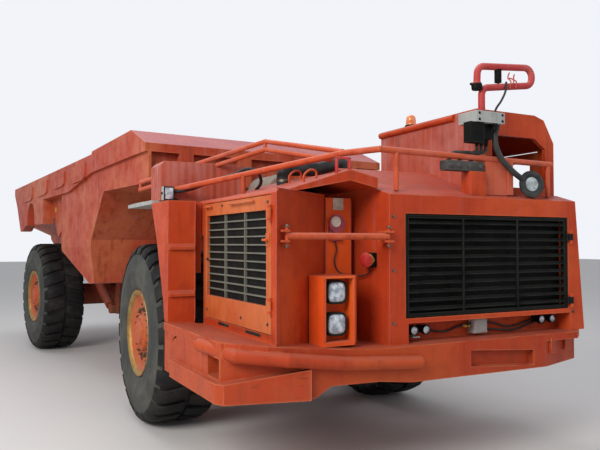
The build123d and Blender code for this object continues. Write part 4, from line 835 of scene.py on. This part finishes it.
def makePipeFittings():
    look = pipeLook
    bm = bmesh.new()
    low = Vector(look["valve"])
    size = Vector(look["valveSize"])
    block(bm, low, low + size, 0.008)
    for along in look["hoseFrom"]:
        x = low.x + along
        drum(bm, (x, low.y + 0.05, low.z), (x, low.y + 0.05, low.z - 0.035), 0.018, segments=6)
        drum(bm, (x, low.y + 0.05, low.z - 0.035), (x, low.y + 0.05, low.z - 0.055), 0.014, segments=16)
    for x, z in look["boxBolts"]:
        bolt(bm, (x, look["boxFace"], z), ahead, 0.008, 0.008)
    drum(bm, (*look["plug"], look["boxLow"]), (*look["plug"], look["boxLow"] - 0.05), 0.02, segments=20,
         bevel=0.003)
    fit(bm, "valve_block", blackSteel)
    for row, (dx, end) in enumerate(zip(look["hoseFrom"], look["hoseEnds"])):
        x, y, z = low.x + dx, low.y + 0.05, low.z - 0.05
        path = [(x, y, z), (x - 0.01, y, z - 0.045), ((x + end) / 2, y + 0.015, z - 0.062),
                (end + 0.01, y + 0.03, z - 0.085), (end, y + 0.04, z - 0.14)]
        hose("valve_hose_%d" % (row + 1), path, look["hoseRadius"])
    bm = bmesh.new()
    block(bm, *look["railValve"], 0.008)
    y, z = look["nutAt"]
    for x in look["hoseEnds"]:
        drum(bm, (x, y, z), (x, y, z + 0.013), 0.02, segments=6)
    y, z = look["capAt"]
    for x in look["caps"]:
        drum(bm, (x, y, z), (x, y - 0.018, z), 0.017, segments=20, bevel=0.003)
    fit(bm, "rail_valve", castIron)
    bm = bmesh.new()
    block(bm, *look["stand"], 0.004)
    fit(bm, "valve_stand", bodyPaint)
    x, y, z = look["coupling"]
    bm = bmesh.new()
    lathe(bm, look["endCap"], (x, y, z), upward, leftward, 32)
    drum(bm, (x - 0.03, y - 0.01, z), (x - 0.085, y - 0.02, z + 0.016), 0.011, segments=16, bevel=0.003)
    block(bm, *[(left, y + across, level) for left, across, level in look["stay"]], 0.006)
    fit(bm, "pipe_coupling", blackSteel)
    for row, (dx, lean) in enumerate(look["ties"]):
        path = [(0.94 + dx, y - 0.034, 3.07 - lean), (0.945 + dx, y - 0.036, 3.11), (0.95 + dx, y, 3.146),
                (0.952 + dx + lean, y + 0.006, 3.175 + lean)]
        hose("pipe_tie_%d" % (row + 1), path, look["tieRadius"], pipePaint)
    hose("pipe_lead", [(left, y + back, level) for left, back, level in look["lead"]], look["leadRadius"])


makePipeFittings()

# round mirror and its arm
mirrorLook = {
    "at": (1.15, -2.462, 2.25), "tilt": -14, "armRadius": 0.024,
    "arm": ((0.785, -2.45, 2.7245), (0.758, -2.45, 2.62), (0.8, -2.45, 2.49), (0.915, -2.455, 2.375),
            (1.07, -2.452, 2.285)),
    # (out of the face, radius) points
    "ring": ((-0.022, 0), (-0.022, 0.09), (-0.014, 0.108), (0.0, 0.116), (0.014, 0.112), (0.022, 0.096),
             (0.02, 0.076), (0.008, 0.062), (0.008, 0.0)),
    "glass": ((0.0084, 0), (0.0084, 0.0615), (0.012, 0.06), (0.0145, 0.04), (0.0152, 0.0)),
}
tilt = radians(mirrorLook["tilt"])
facing = Vector((sin(tilt), -cos(tilt), 0.06)).normalized()
bm = bmesh.new()
lathe(bm, mirrorLook["ring"], mirrorLook["at"], facing, upward, 48)
mirrorRing = fit(bm, "mirror_ring", hoseRubber)
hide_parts("mirror")
hose("mirror_arm", mirrorLook["arm"], mirrorLook["armRadius"])
bm = bmesh.new()
lathe(bm, mirrorLook["glass"], mirrorLook["at"], facing, upward, 40)
fit(bm, "mirror_glass", mirrorGlass)

# warning beacon on the cab roof
beaconLook = {
    "at": (0.8, -1.27, 2.8853),
    # (height, radius) points
    "base": ((0, 0), (0, 0.062), (0.02, 0.062), (0.026, 0.058), (0.03, 0.0545), (0.03, 0)),
    "dome": ((0.0302, 0), (0.0302, 0.052), (0.044, 0.0505), (0.047, 0.0515), (0.064, 0.0495),
             (0.067, 0.0505), (0.084, 0.048), (0.1, 0.0455), (0.116, 0.039), (0.127, 0.025), (0.132, 0.01),
             (0.133, 0)),
}
bm = bmesh.new()
lathe(bm, beaconLook["base"], beaconLook["at"], upward, leftward, 40)
beaconBase = fit(bm, "beacon_base", blackSteel)
bm = bmesh.new()
lathe(bm, beaconLook["dome"], beaconLook["at"], upward, leftward, 40)
fit(bm, "beacon_dome", amberGlass)
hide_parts("beacon")

# square work lamp on the fender: glass, frame, side bolts and lead
workLook = {
    "low": (-1.5165, -0.7375, 2.147), "high": (-1.4385, -0.7303, 2.251), "frameFront": -0.742,
    # (x from, x to, z from, z to) of the frame's four bars
    "bars": ((-1.5245, -1.4305, 2.251, 2.2595), (-1.5245, -1.4305, 2.1385, 2.147),
             (-1.5245, -1.5165, 2.1385, 2.2595), (-1.4385, -1.4305, 2.1385, 2.2595)),
    "bolts": ((-1.529, -1), (-1.426, 1)),
    "lead": ((-1.4295, -0.69, 2.165), (-1.395, -0.69, 2.15), (-1.37, -0.69, 2.122), (-1.368, -0.69, 2.1)),
    "leadRadius": 0.006,
}
bm = bmesh.new()
block(bm, workLook["low"], workLook["high"], 0.003)
fit(bm, "work_lamp_glass", lampGlass)
bm = bmesh.new()
for x0, x1, z0, z1 in workLook["bars"]:
    block(bm, (x0, workLook["frameFront"], z0), (x1, workLook["high"][1], z1), 0.0015)
for x, way in workLook["bolts"]:
    bolt(bm, (x, -0.695, 2.2), (way, 0, 0), 0.009, 0.01)
fit(bm, "work_lamp_frame", blackSteel)
hose("work_lamp_lead", workLook["lead"], workLook["leadRadius"])

# raised rims round the holes of the step
stepLook = {
    "left": -1.225, "right": -1.555, "front": -0.235, "pitch": 0.06, "columns": 6, "rows": 9, "top": 2.1393,
    "rim": ((0, 0.008), (0.006, 0.009), (0.008, 0.012), (0.006, 0.015), (0, 0.016)),
}
bm = bmesh.new()
for row in range(stepLook["rows"]):
    for column in range(stepLook["columns"]):
        x = stepLook["right"] + (stepLook["left"] - stepLook["right"]) * column / (stepLook["columns"] - 1)
        y = stepLook["front"] + stepLook["pitch"] * row - 0.008
        lathe(bm, stepLook["rim"], (x, y, stepLook["top"] - 0.0015), upward, leftward, 12)
fit(bm, "step_cleats", greyPaint)
print("roof fittings and step done")

# driver's seat: sewn cushion and back on a black base
seatLook = {
    "base": ((0.99, -1.5, 1.203), (1.3, -1.15, 1.47)),
    "cushion": ((0.955, -1.545, 1.475), (1.335, -1.125, 1.598)),
    "back": ((0.965, -1.185, 1.605), (1.325, -1.085, 2.145)), "lean": 0.13, "cuts": 22, "seam": 0.34,
    "seamWidth": 0.05, "power": 6, "ribs": 5, "ribGap": 0.045, "ribProud": 0.012,
}


def pad(name, low, high, lean):
    look = seatLook
    bm = bmesh.new()
    bmesh.ops.create_cube(bm, size=2)
    bmesh.ops.subdivide_edges(bm, edges=bm.edges[:], cuts=look["cuts"], use_grid_fill=True)
    half = (Vector(high) - Vector(low)) / 2
    power = look["power"]
    for vert in bm.verts:
        at = vert.co / sum(abs(part) ** power for part in vert.co) ** (1 / power)
        thin = 2 if half.z < half.y else 1     # the padded direction
        across = at[2 if thin == 1 else 1]
        crown = (1 - at.x ** 2) * (1 - across ** 2)
        groove = sum(2.718 ** (-((at.x - x) / look["seamWidth"]) ** 2)
                     for x in (-look["seam"], look["seam"]))
        at[thin] *= 0.8 + 0.2 * crown - 0.1 * groove * (1 - across ** 4)
        at.x *= 1 - 0.03 * (1 - across ** 2)
        vert.co = Vector([a * h for a, h in zip(at, half)])
        vert.co.y += lean * (vert.co.z + half.z)
    bmesh.ops.translate(bm, vec=(Vector(low) + Vector(high)) / 2, verts=bm.verts)
    piece = finish(bm, name, "root", seatVinyl, frontPlace)


bm = bmesh.new()
block(bm, *seatLook["base"], 0.02)
low, high = seatLook["base"]
proud = seatLook["ribProud"]
for row in range(seatLook["ribs"]):
    z = low[2] + 0.05 + seatLook["ribGap"] * row
    block(bm, (low[0] - proud, low[1] - proud, z), (high[0] + proud, high[1] + proud, z + 0.022), 0.01)
seatBase = fit(bm, "seat_base", hoseRubber)
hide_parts("seat")
pad("seat_cushion", *seatLook["cushion"], 0)
pad("seat_back", *seatLook["back"], seatLook["lean"])

# weld beads along the heavy seams and the small plate on the bed
weldLook = {
    "radius": 0.0045,
    "front": (
        ((-0.8985, -2.5172, 1.06), (-0.8985, -2.5172, 1.515)),
        ((-0.6502, -2.5172, 1.06), (-0.6502, -2.5172, 1.515)),
        ((-0.334, -2.5, 1.02), (-0.334, -2.5, 1.88)), ((-0.373, -2.0855, 1.05), (-0.373, -2.0855, 1.88)),
        ((-0.665, -2.1325, 1.53), (-0.665, -2.1325, 2.09)),
        ((-0.4405, -2.1325, 1.04), (-0.4405, -2.1325, 2.09)),
        ((-1.365, -1.1305, 1.11), (-1.365, -1.1305, 2.1)), ((-1.285, -2.555, 1.075), (-1.285, -2.555, 2.09)),
        ((-1.285, -2.555, 2.12), (-0.67, -2.12, 2.12)),
    ),
}
for row, (start, end) in enumerate(weldLook["front"]):
    line = [Vector(start).lerp(Vector(end), share / 3) for share in range(4)]
    hose("weld_%d" % (row + 1), line, weldLook["radius"], weldBead, 2, "VECTOR")
plateLook = {"low": (-1.4545, 4.61, 2.245), "high": (-1.4502, 4.68, 2.315)}
bm = bmesh.new()
block(bm, plateLook["low"], plateLook["high"], 0.001)
finish(bm, "bed_plate", "bed_body", yellowCap, rearPlace, True)
print("seat, welds and plate done")

# camera, floor and soft studio light
cameraLook = {
    "place": (-3.175, -6.5, 1.75), "turn": -27.65, "pitch": 1.6, "lens": 39.6, "sensor": 36, "reach": 200,
}
stageLook = {
    "floor": (0.62, 0.61, 0.6), "floorSecond": (0.66, 0.65, 0.64), "world": (0.93, 0.95, 1.0),
    "worldStrength": 0.5, "seenStrength": 0.95,
}
camera = bpy.data.objects.new("camera", bpy.data.cameras.new("camera"))
bpy.context.scene.collection.objects.link(camera)
camera.location = frontPlace @ Vector(cameraLook["place"])
camera.rotation_euler = (radians(90 + cameraLook["pitch"]), 0, radians(cameraLook["turn"]))
camera.data.lens = cameraLook["lens"]
camera.data.sensor_width = cameraLook["sensor"]
camera.data.clip_end = cameraLook["reach"]
bpy.context.scene.camera = camera

bm = bmesh.new()
bmesh.ops.create_grid(bm, x_segments=1, y_segments=1, size=60)
floorMesh = bpy.data.meshes.new("floor")
bm.to_mesh(floorMesh)
bm.free()
floor = bpy.data.objects.new("floor", floorMesh)
bpy.context.scene.collection.objects.link(floor)
floorMaterial, tree, shader, where = newMaterial("floorMaterial", Roughness=0.8)
tree.links.new(blendColour(tree, noise(tree, where, 0.7, 5), stageLook["floor"], stageLook["floorSecond"]),
               shader.inputs["Base Color"])
floorMesh.materials.append(floorMaterial)

world = bpy.data.worlds.new("world")
bpy.context.scene.world = world
world.use_nodes = True
tree = world.node_tree
background = tree.nodes["Background"]
# the camera and mirrors see a pale backdrop; it lights the truck less
rays = put(tree, "ShaderNodeLightPath")
seen = times(tree, rays.outputs["Is Camera Ray"], rays.outputs["Is Glossy Ray"], "MAXIMUM")
seen = times(tree, seen, rays.outputs["Is Transmission Ray"], "MAXIMUM")
background.inputs["Color"].default_value = (*stageLook["world"], 1)
tree.links.new(span(tree, seen, 0, 1, stageLook["worldStrength"], stageLook["seenStrength"]),
               background.inputs["Strength"])


def softLight(name, place, aim, size, power, colour):
    lamp = bpy.data.lights.new(name, "AREA")
    lamp.shape = "DISK"
    lamp.size = size
    lamp.energy = power
    lamp.color = colour
    light = bpy.data.objects.new(name, lamp)
    bpy.context.scene.collection.objects.link(light)
    light.location = frontPlace @ Vector(place)
    light.rotation_euler = (frontPlace @ Vector(aim) - light.location).to_track_quat("-Z", "Y").to_euler()


# (place, aim, size, power, colour) of each
lightLook = {
    "keyLight": ((-9.5, -6.8, 7.4), (0, 0.5, 1.2), 6, 1160, (1, 0.97, 0.92)),
    "topLight": ((-1, 3, 11), (0, 1.5, 1), 8, 430, (0.95, 0.97, 1)),
    "fillLight": ((5, -9, 5), (0, -1, 1.2), 6, 75, (1, 1, 1)),
}
for name, light in lightLook.items():
    softLight(name, *light)
bpy.context.scene.view_settings.view_transform = "Standard"
print("stage done")

bpy.context.view_layer.update()
